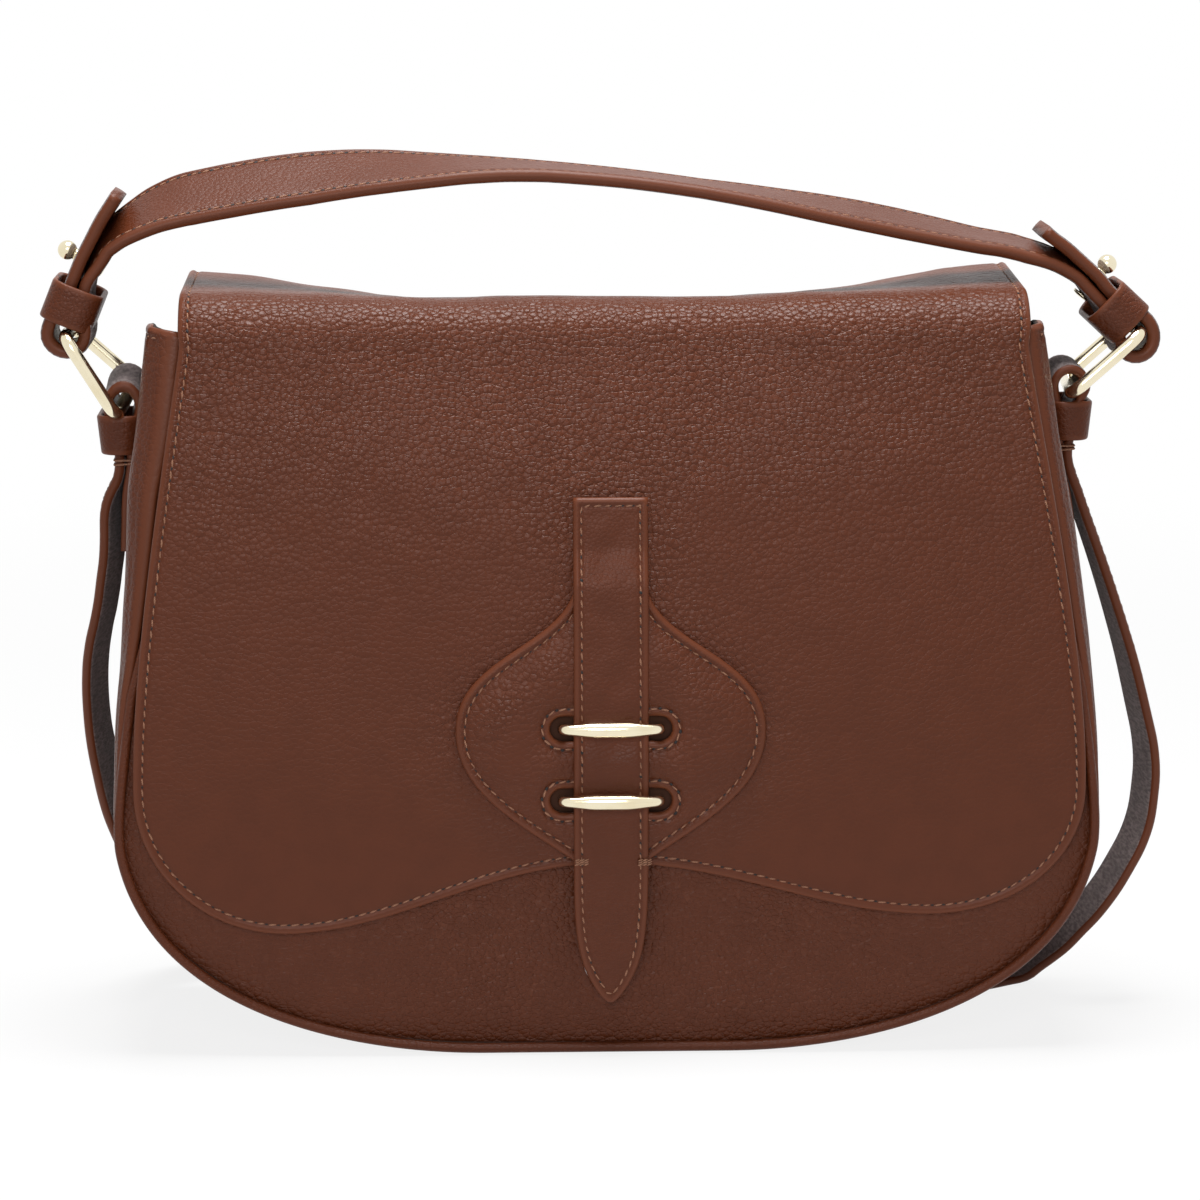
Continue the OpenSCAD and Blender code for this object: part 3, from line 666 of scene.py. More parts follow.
def threadFinish(name, look):
    material, graph, shader = newMaterial(name)
    place = graph.node("ShaderNodeTexCoord", out="Object")
    twist = graph.node("ShaderNodeTexWave", {"bands_direction": "DIAGONAL"},
                       {"Vector": place, "Scale": 1400.0, "Distortion": 2.0, "Detail": 1.0}, 1)
    fuzz = graph.noise(place, 700.0, 2.0)
    base, dark = tints(look, "colour", "deep")
    light = graph.step(twist * 0.6 + fuzz * 0.5, 0.3, 0.8)
    linkTo(graph, shader["Base Color"], graph.blend(light, dark, base))
    linkTo(graph, shader["Roughness"], 0.6 + 0.2 * fuzz)
    linkTo(graph, shader["Normal"], graph.bump(0.8, 0.00006, twist))
    return material


leatherLook = {"colour": (87, 41, 20), "deep": (78, 36, 17), "rim": (102, 54, 33), "light": (126, 76, 54),
               "cell": 0.0016, "drift": 0.0007, "stretch": (0.9, 1.0, 1.12), "depth": 0.00027, "crease": 0.08,
               "lines": 0.1, "rimShare": 0.75, "rough": 0.33, "shine": 0.2}
strapLook = dict(leatherLook, depth=0.0002, cell=0.0011, lines=0.04, crease=0.2, rough=0.34)
pebbled = leatherFinish("pebbledLeather", leatherLook)
strapLeather = leatherFinish("strapLeather", strapLook)
suede = suedeFinish("strapSuede", {"colour": (146, 133, 131), "deep": (98, 86, 85), "depth": 0.00025,
                                   "sheen": 0.1})
liningSuede = suedeFinish("liningSuede", {"colour": (66, 48, 40), "deep": (44, 31, 26), "depth": 0.0001,
                                          "sheen": 0.05})
paleGold = metalFinish("paleGold", {"colour": (238, 228, 200), "warm": (222, 206, 168), "rough": 0.09,
                                    "brush": (1.0, 1.0, 1.0), "depth": 0.000004})
darkPlate = metalFinish("darkPlate", {"colour": (60, 40, 32), "warm": (50, 33, 27), "rough": 0.5,
                                      "brush": (1.0, 1.0, 1.0), "depth": 0.00001})
brushedSteel = metalFinish("brushedSteel", {"colour": (196, 196, 198), "warm": (176, 174, 172), "rough": 0.3,
                                            "brush": (0.1, 1.0, 1.0), "depth": 0.00002})
thread = threadFinish("tanThread", {"colour": (168, 120, 92), "deep": (104, 66, 46)})
# Near-black finish for beads that stand in for the shade inside needle holes: painted shade
paintedHoleShade = threadFinish("paintedHoleShade", {"colour": (20, 10, 9), "deep": (12, 6, 6)})
print("finishes made")

# Stitches, laid along seam lines by a node tree

stitch = {"pitch": 0.0032, "length": 0.0024, "width": 0.00062, "height": 0.0005, "lean": 0.16, "seed": 7,
          "sink": 0.00005}
# Needle holes are not cut: near-black beads of this size sit on the surface as their painted shade
hole = {"length": 0.0011, "width": 0.00082, "height": 0.0003, "lean": 0.5}


def stitchTree():
    tree = bpy.data.node_groups.new("stitchRow", "GeometryNodeTree")
    face = tree.interface
    face.new_socket("Geometry", in_out="INPUT", socket_type="NodeSocketGeometry")
    for key in ("Pitch", "Length", "Width", "Height", "Shift", "Lean"):
        face.new_socket(key, in_out="INPUT", socket_type="NodeSocketFloat")
    face.new_socket("Seed", in_out="INPUT", socket_type="NodeSocketInt")
    face.new_socket("Finish", in_out="INPUT", socket_type="NodeSocketMaterial")
    face.new_socket("Geometry", in_out="OUTPUT", socket_type="NodeSocketGeometry")
    graph = Graph(tree)
    given = tree.nodes.new("NodeGroupInput")
    take = lambda key: Wire(graph, given.outputs[key])
    curve = graph.node("GeometryNodeMeshToCurve", {}, {"Mesh": take("Geometry")})
    spaced = graph.node("GeometryNodeResampleCurve", {"mode": "LENGTH"},
                        {"Curve": curve, "Length": take("Pitch")})
    outward = graph.node("GeometryNodeInputNamedAttribute", {"data_type": "FLOAT_VECTOR"},
                         {"Name": "outward"})
    run = graph.node("GeometryNodeInputTangent")
    turned = graph.node("FunctionNodeAlignRotationToVector", {"axis": "X"}, {"Vector": run})
    turned = graph.node("FunctionNodeAlignRotationToVector", {"axis": "Z", "pivot_axis": "X"},
                        {"Rotation": turned, "Vector": outward})
    ball = graph.node("GeometryNodeMeshUVSphere", {}, {"Segments": 8, "Rings": 5, "Radius": 0.5})
    size = graph.node("ShaderNodeCombineXYZ", {},
                      {"X": take("Length"), "Y": take("Width"), "Z": take("Height")})
    shift = graph.node("ShaderNodeCombineXYZ", {}, {"X": take("Shift")})
    lean = graph.node("ShaderNodeCombineXYZ", {}, {"Z": take("Lean")})
    bead = graph.node("GeometryNodeTransform", {},
                      {"Geometry": ball, "Translation": shift, "Rotation": lean, "Scale": size})
    jitter = graph.node("FunctionNodeRandomValue", {"data_type": "FLOAT"},
                        {2: 0.88, 3: 1.1, "Seed": take("Seed")}, 1)
    laid = graph.node("GeometryNodeInstanceOnPoints", {},
                      {"Points": spaced, "Instance": bead, "Rotation": turned, "Scale": jitter})
    real = graph.node("GeometryNodeRealizeInstances", {}, {"Geometry": laid})
    shaded = graph.node("GeometryNodeSetShadeSmooth", {}, {"Geometry": real})
    done = graph.node("GeometryNodeSetMaterial", {}, {"Geometry": shaded, "Material": take("Finish")})
    end = tree.nodes.new("NodeGroupOutput")
    tree.links.new(done.socket, end.inputs[0])
    return tree


stitchNodes = stitchTree()


# One plain mesh of stitches from several seam lines: each line is (places, outward directions, closed)
def stitches(name, lines, finish, **sizes):
    points, edges, outward = [], [], []
    for places, directions, closed in lines:
        start = len(points)
        points += [tuple(p) for p in places]
        outward += [tuple(d) for d in directions]
        edges += [(start + i, start + i + 1) for i in range(len(places) - 1)]
        edges += [(start + len(places) - 1, start)] if closed else []
    mesh = bpy.data.meshes.new(name + "Line")
    mesh.from_pydata(points, edges, [])
    layer = mesh.attributes.new("outward", "FLOAT_VECTOR", "POINT")
    layer.data.foreach_set("vector", np.asarray(outward, np.float32).ravel())
    guide = bpy.data.objects.new(name + "Line", mesh)
    scene.collection.objects.link(guide)
    modifier = guide.modifiers.new("stitches", "NODES")
    modifier.node_group = stitchNodes
    values = {"Pitch": stitch["pitch"], "Length": stitch["length"], "Width": stitch["width"],
              "Height": stitch["height"], "Shift": 0.0, "Lean": stitch["lean"], "Seed": stitch["seed"],
              "Finish": finish, **sizes}
    for item in stitchNodes.interface.items_tree:
        if item.in_out == "INPUT" and item.name in values:
            modifier[item.identifier] = values[item.name]
    bpy.context.view_layer.update()
    solid = bpy.data.meshes.new_from_object(guide.evaluated_get(bpy.context.evaluated_depsgraph_get()))
    guide.modifiers.clear()
    bpy.data.objects.remove(guide)
    solid.name = name
    piece = bpy.data.objects.new(name, solid)
    scene.collection.objects.link(piece)
    return piece


# A row of stitches and, half a pitch on, near-black beads as painted shade for the holes of its needle
def seamRow(name, lines, **sizes):
    return [stitches(name, lines, thread, **sizes),
            stitches(name + "Holes", lines, paintedHoleShade, Length=hole["length"], Width=hole["width"],
                     Height=hole["height"], Shift=stitch["pitch"] / 2, Lean=hole["lean"])]


# Shape of the bag, as the part's source has it; sizes in metres

bag = {"tall": 0.203, "depth": 0.038, "taper": 0.007, "belly": 0.004, "panelTop": 0.2, "leather": 0.0022,
       "rest": 0.0031, "seamZ": 0.168, "roll": 0.008}


def middleOf(node):
    low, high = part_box(node)
    return (np.array(low) + np.array(high)) / 2


def panelY(z):
    share = np.asarray(z, float) / bag["tall"]
    return bag["depth"] - bag["taper"] * share**2 + bag["belly"] * np.sin(math.pi * np.clip(share, 0, 1))


def flapY(z):
    return panelY(z) + bag["rest"]


# How far the front leans in at the middle of the mouth, where the flap rolls over it
def frontRoll(x, z):
    return bag["roll"] * bell(x, 0, 0.09) * smooth(z, 0.16, 0.232)


bodyHalf = mm * joined(np.array([[0, 0], [35, 0.0]]),
                       bezier([35, 0], [76, 0], [140, 14.4], [139.5, 72], 48),
                       bezier([139.5, 72], [139.5, 100], [134, 138], [126, 203], 48))
bodyHalf = np.concatenate([bodyHalf, [(0.1251, 0.2085)]])
leftMove = mm * np.array([[110, 135, 160, 200], [0, 1.0, 3.0, 3.6]])
rightMove = mm * np.array([[120, 147, 175, 200], [0, -0.8, -1.8, -1.4]])


def bodySide(way):
    move = leftMove if way < 0 else rightMove
    return bodyHalf + np.stack([np.interp(bodyHalf[:, 1], *move), 0 * bodyHalf[:, 1]], 1)


bodyLine = resampled(np.concatenate([(bodySide(-1) * [-1, 1])[::-1], bodySide(1)[1:]]), 0.0015)


def bodyX(z, way):
    side = bodySide(way)
    return np.interp(z, side[2:, 1], side[2:, 0])


# How far in from the side the bead lies; at the top left the flap leaves more of the gusset open
def beadInset(z, x):
    z = np.asarray(z) / mm
    both = np.interp(z, [60, 85, 105, 125, 150, 175, 200], [0, 2.0, 3.2, 5.4, 6.6, 8.6, 9.6])
    left = np.interp(z, [105, 125, 150, 175, 200], [0, 1.6, 3.2, 4.6, 5.2])
    return mm * (both + (x < 0) * left)


def insetLine(more, top):
    line = bodyLine[bodyLine[:, 1] < top]
    moved = offsetLine(line, -(beadInset(line[:, 1], line[:, 0]) + more))
    moved[[0, -1], 1] = top
    return moved


# A strap that follows a path, leather on top and its own finish below
def strapPiece(name, path, side, strap, finishes, grain=0.5):
    profile, gap, topCount = strapProfile(strap)
    below = np.zeros(len(profile), int)
    inner = (gap > 0.0006) & (np.roll(gap, -1) > 0.0006)
    below[topCount - 1:] = inner[topCount - 1:] * (len(finishes) - 1)
    return sweep(name, path, side, profile, finishes, index=below,
                 attributes={"edgeDist": gap, "grain": grain})


# A leather band closed round what it holds
def keeperPiece(name, path, side, size):
    profile, gap, _ = strapProfile(size)
    return sweep(name, path, side, profile, [strapLeather], closed=True,
                 attributes={"edgeDist": gap[None], "grain": 0.7})


# Rows of stitches near both edges of a strap
def strapRows(path, side, strap, inset, first, last):
    along = tangents(path)
    side = squared(side, along)
    up = np.cross(along, side)
    over = strap["thick"] / 2 - strap["seam"]["deep"] * 0.7
    edges = [path + side * way * (strap["wide"] / 2 - inset) + up * over for way in (-1, 1)]
    return [(edge[first:last], up[first:last], False) for edge in edges]


# Shoulder strap, hanging from tab to tab round the back

shoulder = {"wide": 0.02, "thick": 0.003, "seam": None}
route = mm * np.array([
    (-137.9, 0, 171), (-137.5, 0, 166), (-138.2, 0, 161), (-139.7, 0, 156.5), (-140.5, 0, 150.9),
    (-140.7, 0.5, 143.7), (-141.1, 1, 137.8), (-142, 2, 131.9), (-142.9, 3, 125.9), (-144.1, 4, 119.9),
    (-145.6, 6, 113.7), (-146.9, 9, 105.9), (-147.5, 11.5, 97), (-147.2, 14, 86), (-146, 18, 75),
    (-143, 28, 57), (-137, 39, 39), (-128, 50, 22), (-114, 60, 8), (-96, 69, 2.3), (-78, 77, 1.4),
    (-58, 84, 1.4), (-36, 89, 1.4), (-12, 92, 1.4), (12, 92, 1.4), (34, 88, 1.4), (54, 79, 1.4),
    (71, 66, 1.4), (85, 50, 1.4), (97, 36, 1.4), (111, 27, 3.2), (124.5, 21, 8.2), (130.6, 18, 13.2),
    (136.1, 15.5, 18.5), (140.8, 13.5, 24.1), (145, 12.5, 29), (149.8, 12.5, 35.6), (154, 13, 42.7),
    (157.2, 13.5, 48.9), (159.5, 14, 56), (160.5, 14, 64.1), (160.8, 14, 71), (160, 14, 79),
    (157.8, 13, 88.2), (153.9, 11, 103.2), (149.9, 9, 116), (145.4, 7, 129.3), (141.1, 5, 141),
    (137.6, 2.5, 149.9), (134.9, 1, 157.1), (133, 0, 161.9), (132, 0, 167), (132.8, 0, 174)])
strapPath = throughPoints(route, 0.002)
strapPath[:, 2] = np.maximum(strapPath[:, 2], 0.0013)
# The strap twists a little at either side, so that its edge shows from the front
x, _, z = strapPath.T
turn = np.radians(8) * smooth(x, 0.1, 0.13) * (1 - 0.8 * smooth(z, 0.075, 0.15))
turn -= np.radians(11) * smooth(-x, 0.12, 0.14) * (1 - smooth(z, 0.15, 0.163))
strapSide = np.stack([-np.sin(turn), np.cos(turn), 0 * turn], 1)
shoulderStrap = strapPiece("shoulderStrap", strapPath[::-1], strapSide[::-1], shoulder,
                           [strapLeather, suede], 0.35)
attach(shoulderStrap, "bag_body")
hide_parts("shoulder_strap")

# Body: two panels, the gusset between them and a bead along each seam

gussetCut = {"thick": 0.0022, "round": 0.009, "sink": 0.0012, "pleat": 0.0008,
             "seam": {"deep": 0.0003, "inset": 0.0032, "rim": 0.0001}}
bead = {"radius": 0.00145, "inset": 0.0014}


def panelCut(way):
    line = insetLine(0.0009, bag["panelTop"])
    dense = resampled(line, 0.002)

    def surface(x, z):
        back = distanceTo(np.stack([x, z], 1), dense, False)
        back = 0.0014 * (1 - smooth(back, 0, 0.012)) * smooth(bag["panelTop"] - z, -0.001, 0.01)
        ripple = 0.0003 * waves(3 + way, 0.07, x, z) * smooth(bag["panelTop"] - z, 0, 0.04)
        y = way * (panelY(z) - back + ripple) + (way < 0) * frontRoll(x, z)
        return np.stack([x, y, z], 1)

    return {"outline": line, "surface": surface, "facing": lambda x, z: np.array([[0, way, 0]]),
            "thick": bag["leather"], "step": 0.003, "insets": (0.2, 0.6, 1.2, 1.8, 2.4, 3.0, 4.0),
            "grain": lambda x, z, gap: 1.25 - 0.5 * smooth(np.abs(x), 0.05, 0.13)}


panels = {}
for key, way in (("front", -1), ("back", 1)):
    panels[key] = sheet(key + "Panel", panelCut(way), [pebbled, liningSuede])
    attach(panels[key], "bag_body")
    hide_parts(key + "_panel")

gussetPath = bodyLine[bodyLine[:, 1] < 0.2075]
gussetRun = runOf(gussetPath)
gussetOut = rightOf(gussetPath)


def gussetSurface(s, y):
    at, out = rowsAt(s, gussetRun, gussetPath), unit(rowsAt(s, gussetRun, gussetOut))
    z, deep = at[:, 1], panelY(at[:, 1])
    near = np.clip((np.abs(y) - (deep - gussetCut["round"])) / gussetCut["round"], 0, 1)
    drop = (beadInset(z, at[:, 0]) + gussetCut["sink"]) * (1 - np.sqrt(1 - near * near))
    side = smooth(z, 0.035, 0.06) * (1 - smooth(z, 0.1, 0.125))
    edge = deep - np.abs(y)
    pleat = gussetCut["pleat"] * side * (bell(edge, 0.005, 0.0012) + bell(edge, 0.0105, 0.0016))
    pinch = 0.0012 * smooth(z, 0.14, 0.19) * bell(np.abs(y), 0.021, 0.006)
    ripple = 0.0003 * waves(9, 0.05, s, y) * smooth(np.abs(y), 0.012, 0.02) * smooth(z, 0.01, 0.04)
    at = at - out * (drop + pleat + pinch - ripple)[:, None]
    return np.stack([at[:, 0], y, at[:, 1]], 1)


def gussetFacing(s, y):
    out = rowsAt(s, gussetRun, gussetOut)
    return np.stack([out[:, 0], np.zeros(len(out)), out[:, 1]], 1)


# The gusset's rim climbs from the back panel to the front one
gussetEdge = np.stack([gussetRun, panelY(gussetPath[:, 1]) - 0.0004], 1)
frontEdge = gussetEdge * [1, -1]
gussetEdge = gussetEdge[gussetPath[:, 1] < bag["panelTop"]]
topDepth = float(gussetEdge[0, 1])
rimY = np.linspace(topDepth, -topDepth, 61)[1:-1]
atFront = frontEdge[-1, 0] - gussetEdge[-1, 0]
rise = np.interp(-rimY / topDepth, [-1, -0.7, 0, 0.6, 1], [0, 0.0012, 0.0052, 0.0072, atFront])
rightTop = np.stack([gussetEdge[-1, 0] + rise, rimY], 1)
leftTop = np.stack([gussetEdge[0, 0] - rise, rimY], 1)[::-1]
gussetSheet = {"outline": np.concatenate([gussetEdge, rightTop, frontEdge[::-1], leftTop]),
               "surface": gussetSurface, "facing": gussetFacing, "thick": gussetCut["thick"],
               "step": 0.0028, "seam": gussetCut["seam"],
               "insets": (0.2, 0.6, 1.2, 1.8, 2.4, 3.0, 3.8, 4.8, 5.9, 7.2, 8.6, 10, 11.4),
               "grain": lambda s, y, gap: np.full(len(s), 0.75)}
gusset = sheet("gusset", gussetSheet, [pebbled, liningSuede])
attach(gusset, "bag_body")
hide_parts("gusset")

beads = {}
for key, way in (("front", -1), ("back", 1)):
    line = insetLine(bead["inset"], bag["panelTop"] - 0.0004)
    line = np.stack([line[:, 0], np.zeros(len(line)), line[:, 1]], 1)
    z = line[:, 2]
    tucked = smooth(z, 0.074, 0.1) if way < 0 else 0 * z
    line[:, 1] = way * (panelY(z) + 0.0001 - 0.0012 * tucked)
    line = resampled(line, 0.0016)
    beads[key] = sweep(key + "Welt", line, (0, 1, 0), roundProfile(bead["radius"], 16), [strapLeather],
                       attributes={"edgeDist": np.full((1, 1), 0.01), "grain": np.full((1, 1), 0.5)})
    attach(beads[key], "bag_body")
    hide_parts(key + "_welt")
print("body made")

# Flap: one cut of leather from the back seam over the top to the scalloped front

flap = {"thick": 0.0026, "frontTop": 0.2016, "bend": 0.014, "backR": 0.012, "turnZ": 0.205,
        "seam": {"deep": 0.00035, "inset": 0.0027, "rim": 0.00018, "wide": 0.0006}, "leftLow": 36.2,
        "rightLow": 40.5, "splitY": -0.02, "backRest": 0.00285}
backY = float(panelY(0.188)) + flap["backRest"]
frontC = np.array([-(float(flapY(flap["frontTop"])) - flap["bend"]), flap["frontTop"]])
backC = np.array([backY - flap["backR"], flap["turnZ"]])
topB, topA = frontC + [0, flap["bend"]], backC + [0, flap["backR"]]
flapSteps = np.cumsum([flap["frontTop"], flap["bend"] * math.pi / 2, np.linalg.norm(topA - topB),
                       flap["backR"] * math.pi / 2, flap["turnZ"] - bag["seamZ"]])


def flapSection(v):
    y, z = np.empty_like(v), np.empty_like(v)
    a = v <= flapSteps[0]
    y[a], z[a] = -flapY(v[a]), v[a]
    b = (v > flapSteps[0]) & (v <= flapSteps[1])
    turn = (v[b] - flapSteps[0]) / flap["bend"]
    y[b], z[b] = frontC[0] - flap["bend"] * np.cos(turn), frontC[1] + flap["bend"] * np.sin(turn)
    c = (v > flapSteps[1]) & (v <= flapSteps[2])
    share = (v[c] - flapSteps[1]) / (flapSteps[2] - flapSteps[1])
    y[c], z[c] = lerp(topB[0], topA[0], share), lerp(topB[1], topA[1], share)
    d = (v > flapSteps[2]) & (v <= flapSteps[3])
    turn = (v[d] - flapSteps[2]) / flap["backR"]
    y[d], z[d] = backC[0] + flap["backR"] * np.sin(turn), backC[1] + flap["backR"] * np.cos(turn)
    e = v > flapSteps[3]
    y[e], z[e] = backY, flap["turnZ"] - (v[e] - flapSteps[3])
    return y, z


# How far the flap's top sags between the sides: x, then the drop there
flapSagAt = mm * np.array([
    [-118, -110, -99, -87, -75.5, -64, -52.5, -41, -23, -6, 5.6, 17, 29, 40.6, 52, 64, 75.5, 87, 99, 118],
    [0, 0.7, 2.2, 3.9, 5.5, 7.2, 8.6, 9.5, 10.2, 10.5, 10.4, 10.1, 9.6, 8.8, 7.6, 6.1, 4.3, 2.1, -0.4, -1.6]])


def flapSag(x, y, z):
    front = np.clip((y - frontC[0] + flap["bend"]) / (topA[0] - frontC[0] + flap["bend"]), 0, 1)
    rear = np.where(y > 0, np.clip((z - 0.178) / (topA[1] - 0.178), 0, 1), 1)
    return np.interp(x, *flapSagAt) * np.minimum(front, rear)


def flapSurface(x, v):
    y, z = flapSection(np.asarray(v, float))
    z = z - flapSag(x, y, z)
    rear = v > flapSteps[3]
    roll = frontRoll(x, v) * (1 - smooth(v, flapSteps[1], flapSteps[2]))
    y = np.where(rear, panelY(z) + flap["backRest"], y + roll)
    return np.stack([x, y, z], 1)


def flapFacing(x, v):
    turn = np.interp(v, flapSteps[:4], [0, math.pi / 2, math.pi / 2, math.pi])
    return np.stack([np.zeros(len(x)), -np.cos(turn), np.sin(turn)], 1)


def flapHalf(low, wide, top):
    part = joined(bezier([top, 201.2], [top + 3.6, 175], [wide, 115], [wide, 77], 40),
                  bezier([wide, 77], [wide, 55.5], [115, low], [91, low], 30),
                  bezier([91, low], [60, low], [35, 56], [0, 56], 40))
    return part * mm


def flapRelief(x, v, gap):
    rise = 0.00045 * bell(x, 0, 0.018) * bell(v, 0.172, 0.012)
    soft = 0.0005 * waves(21, 0.09, x, v * 0.6) * smooth(v, 0.06, 0.12) * smooth(gap, 0.004, 0.02)
    fine = 0.00018 * waves(22, 0.022, x, v) * smooth(v, 0.1, 0.2) * smooth(gap, 0.004, 0.015)
    return soft + fine - rise


def flapGrain(x, v, gap):
    top = bell(v, 0.205, 0.055)
    puckers = bell(np.maximum(np.abs(x) - 0.012, 0), 0, 0.012) * smooth(v, 0.14, 0.15)
    puckers = puckers * (1 - smooth(v, 0.165, 0.19))
    around = bell(distanceTo(np.stack([x, v], 1), resampled(spadeLine, 0.003, True)), 0, 0.011)
    around = np.where(v < 0.16, around, 0)
    return 0.3 + 0.95 * top + 0.5 * puckers + 0.55 * around - 0.18 * smooth(0.09 - v, 0, 0.04)


spadeHalf = mm * joined(np.array([[10, 135.0]]),
                        bezier([10, 135], [14, 118], [43.5, 116], [43.5, 94.5], 30),
                        bezier([43.5, 94.5], [43.5, 76], [22, 66], [10, 57], 30))
spadeLine = np.concatenate([spadeHalf, (spadeHalf * [-1, 1])[::-1]])
flapFar = flapSteps[4]
rightEdge = flapHalf(flap["rightLow"], 134.5, 117.6)
leftEdge = flapHalf(flap["leftLow"], 133.2, 118.9) * [-1, 1]
flapOutline = [[(0.1182, flapFar), (0.1182, 0.2055)], rightEdge, leftEdge[::-1][1:],
               [(-0.1192, 0.2055), (-0.1192, flapFar)]]
flapCut = {"outline": np.concatenate(flapOutline), "surface": flapSurface, "facing": flapFacing,
           "thick": flap["thick"], "radius": 0.0011, "seam": flap["seam"], "relief": flapRelief,
           "grain": flapGrain, "step": 0.0022}
splitV = flapSteps[1] + (flapSteps[2] - flapSteps[1]) * (flap["splitY"] - topB[0]) / (topA[0] - topB[0])
flapBack, flapFront = partedSheet(("flapBack", "flapFront"), dict(flapCut, row=splitV), [pebbled, suede])
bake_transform(flapBack)
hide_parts("flap_rear_shell", "flap_rear_lining", "flap_bridge_shell", "flap_bridge_lining")
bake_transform(flapFront)
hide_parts("flap_front_shell", "flap_front_lining")
print("flap made")

# Closure: a padded spade, a strap through two loops and its loose tongue

closure = {"aside": 0.0005, "loopUp": 0.001, "spadeThick": 0.0024, "dome": 0.0011, "slotR": 0.0035,
           "strapTop": 0.16, "legX": 0.0136, "barR": 0.0023, "legR": 0.0015}
closureStrap = {"wide": 0.021, "thick": 0.0022, "seam": {"deep": 0.0003, "inset": 0.0023, "rim": 0.00012}}
loopZ = [middleOf(node)[2] + closure["loopUp"] * 0.4 for node in ("loop_upper", "loop_lower")]


def spadeY(z):
    return flapY(z) + closure["spadeThick"] * np.clip((0.145 - np.asarray(z)) / 0.009, 0, 1)


def stadium(z, radius, half, count=10):
    a = np.linspace(-math.pi / 2, math.pi / 2, count)
    right = np.stack([half + radius * np.cos(a), z + radius * np.sin(a)], 1)
    return np.concatenate([right, right * [-1, -1] + [0, 2 * z]])


def spadeSurface(x, z):
    gap = distanceTo(np.stack([x, z], 1), resampled(spadeLine, 0.002, True))
    dome = closure["dome"] * smooth(gap, 0.001, 0.014) * (1 - 0.6 * bell(x, 0, 0.012))
    return np.stack([x + closure["aside"], -spadeY(z) - dome, z], 1)


def spadeRelief(x, z, gap):
    hump = 0.0004 * bell(x, 0.017, 0.005) + 0.0004 * bell(x, -0.017, 0.005)
    return 0.0003 * waves(31, 0.02, x, z) * smooth(gap, 0.003, 0.01) + hump * smooth(gap, 0.002, 0.006)


slotHalf = closure["legX"]
spadeCut = {"outline": spadeLine, "holes": [stadium(z, closure["slotR"], slotHalf) for z in loopZ],
            "surface": spadeSurface, "facing": lambda x, z: np.array([[0, -1, 0]]),
            "thick": closure["spadeThick"], "radius": 0.0012,
            "seam": {"deep": 0.0004, "inset": 0.0026, "rim": 0.0002, "swell": 0.0003},
            "relief": spadeRelief, "step": 0.0016,
            "grain": lambda x, z, gap: 0.75 + 0.4 * waves(33, 0.03, x, z) * smooth(gap, 0.003, 0.01)}
spade = sheet("spadePanel", spadeCut, [pebbled, suede])
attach(spade, "flap_front")
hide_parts("closure_panel")

tongueBack = float(panelY(0.016)) + 0.0037
tongueHalf = mm * joined(np.array([[10.5, 160.0], [10.5, 110], [10.5, 56.8]]),
                         bezier([10.5, 56.8], [10.5, 36], [9.7, 27.5], [3.2, 18.4], 24),
                         bezier([3.2, 18.4], [1.7, 16.4], [0.7, 15.8], [0, 15.8], 8))


def strapY(z):
    z = np.asarray(z, float)
    low = np.clip((0.0568 - z) / (0.0568 - 0.016), 0, 1)
    back = np.where(z > 0.0568, spadeY(z), lerp(spadeY(0.0568), tongueBack, low))
    return back + closureStrap["thick"] + 0.0001


def closureSurface(x, z):
    lift = 0.0004 * (bell(z, loopZ[0], 0.007) + bell(z, loopZ[1], 0.007))
    bulge = 0.0009 * bell(z, (loopZ[0] + loopZ[1]) / 2, 0.006)
    return np.stack([x + closure["aside"], -strapY(z) + lift - bulge, z], 1)


strapCut = {"outline": np.concatenate([tongueHalf, (tongueHalf * [-1, 1])[::-1][1:]]),
            "surface": closureSurface, "facing": lambda x, z: np.array([[0, -1, 0]]),
            "thick": closureStrap["thick"], "radius": 0.0011, "seam": closureStrap["seam"], "step": 0.0018,
            "relief": lambda x, z, gap: 0.0002 * waves(41, 0.013, x, z) * smooth(gap, 0.002, 0.005),
            "grain": lambda x, z, gap: 0.45 + 0.4 * smooth(0.06 - z, 0, 0.02)}
strap = sheet("closureStrap", strapCut, [strapLeather, suede])
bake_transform(strap)
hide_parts("closure_strap", "tongue_tip")

loops = {}
for key, z in zip(("Upper", "Lower"), loopZ):
    y, legX = -float(strapY(z)) - closure["barR"] - 0.0001, closure["legX"]
    back = -float(flapY(z)) - 0.0008
    half = np.array([(legX, back, z), (legX, back - 0.002, z), (legX, y + 0.0026, z),
                     (legX - 0.0007, y + 0.0008, z), (legX - 0.0026, y, z), (0.006, y - 0.0003, z)])
    line = throughPoints(np.concatenate([half * [-1, 1, 1], [(0, y - 0.0004, z)], half[::-1]]), 0.0007)
    radius = lerp(closure["legR"], closure["barR"], 1 - smooth(np.abs(line[:, 0]), 0.004, 0.0125))
    climb = np.outer(smooth(-line[:, 1], -back, -y), (0, 0, closure["loopUp"] * 0.6))
    line += np.array([closure["aside"], 0, 0]) + climb
    shape = roundProfile(1.0, 20) * radius[:, None, None] * [1.0, 0.95]
    loops[key] = sweep("loop" + key, line, (0, 0, 1), shape, [paleGold])
    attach(loops[key], "flap_front")
    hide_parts("loop_" + key.lower())
print("closure made")

# Rings, tabs and their keepers at both ends

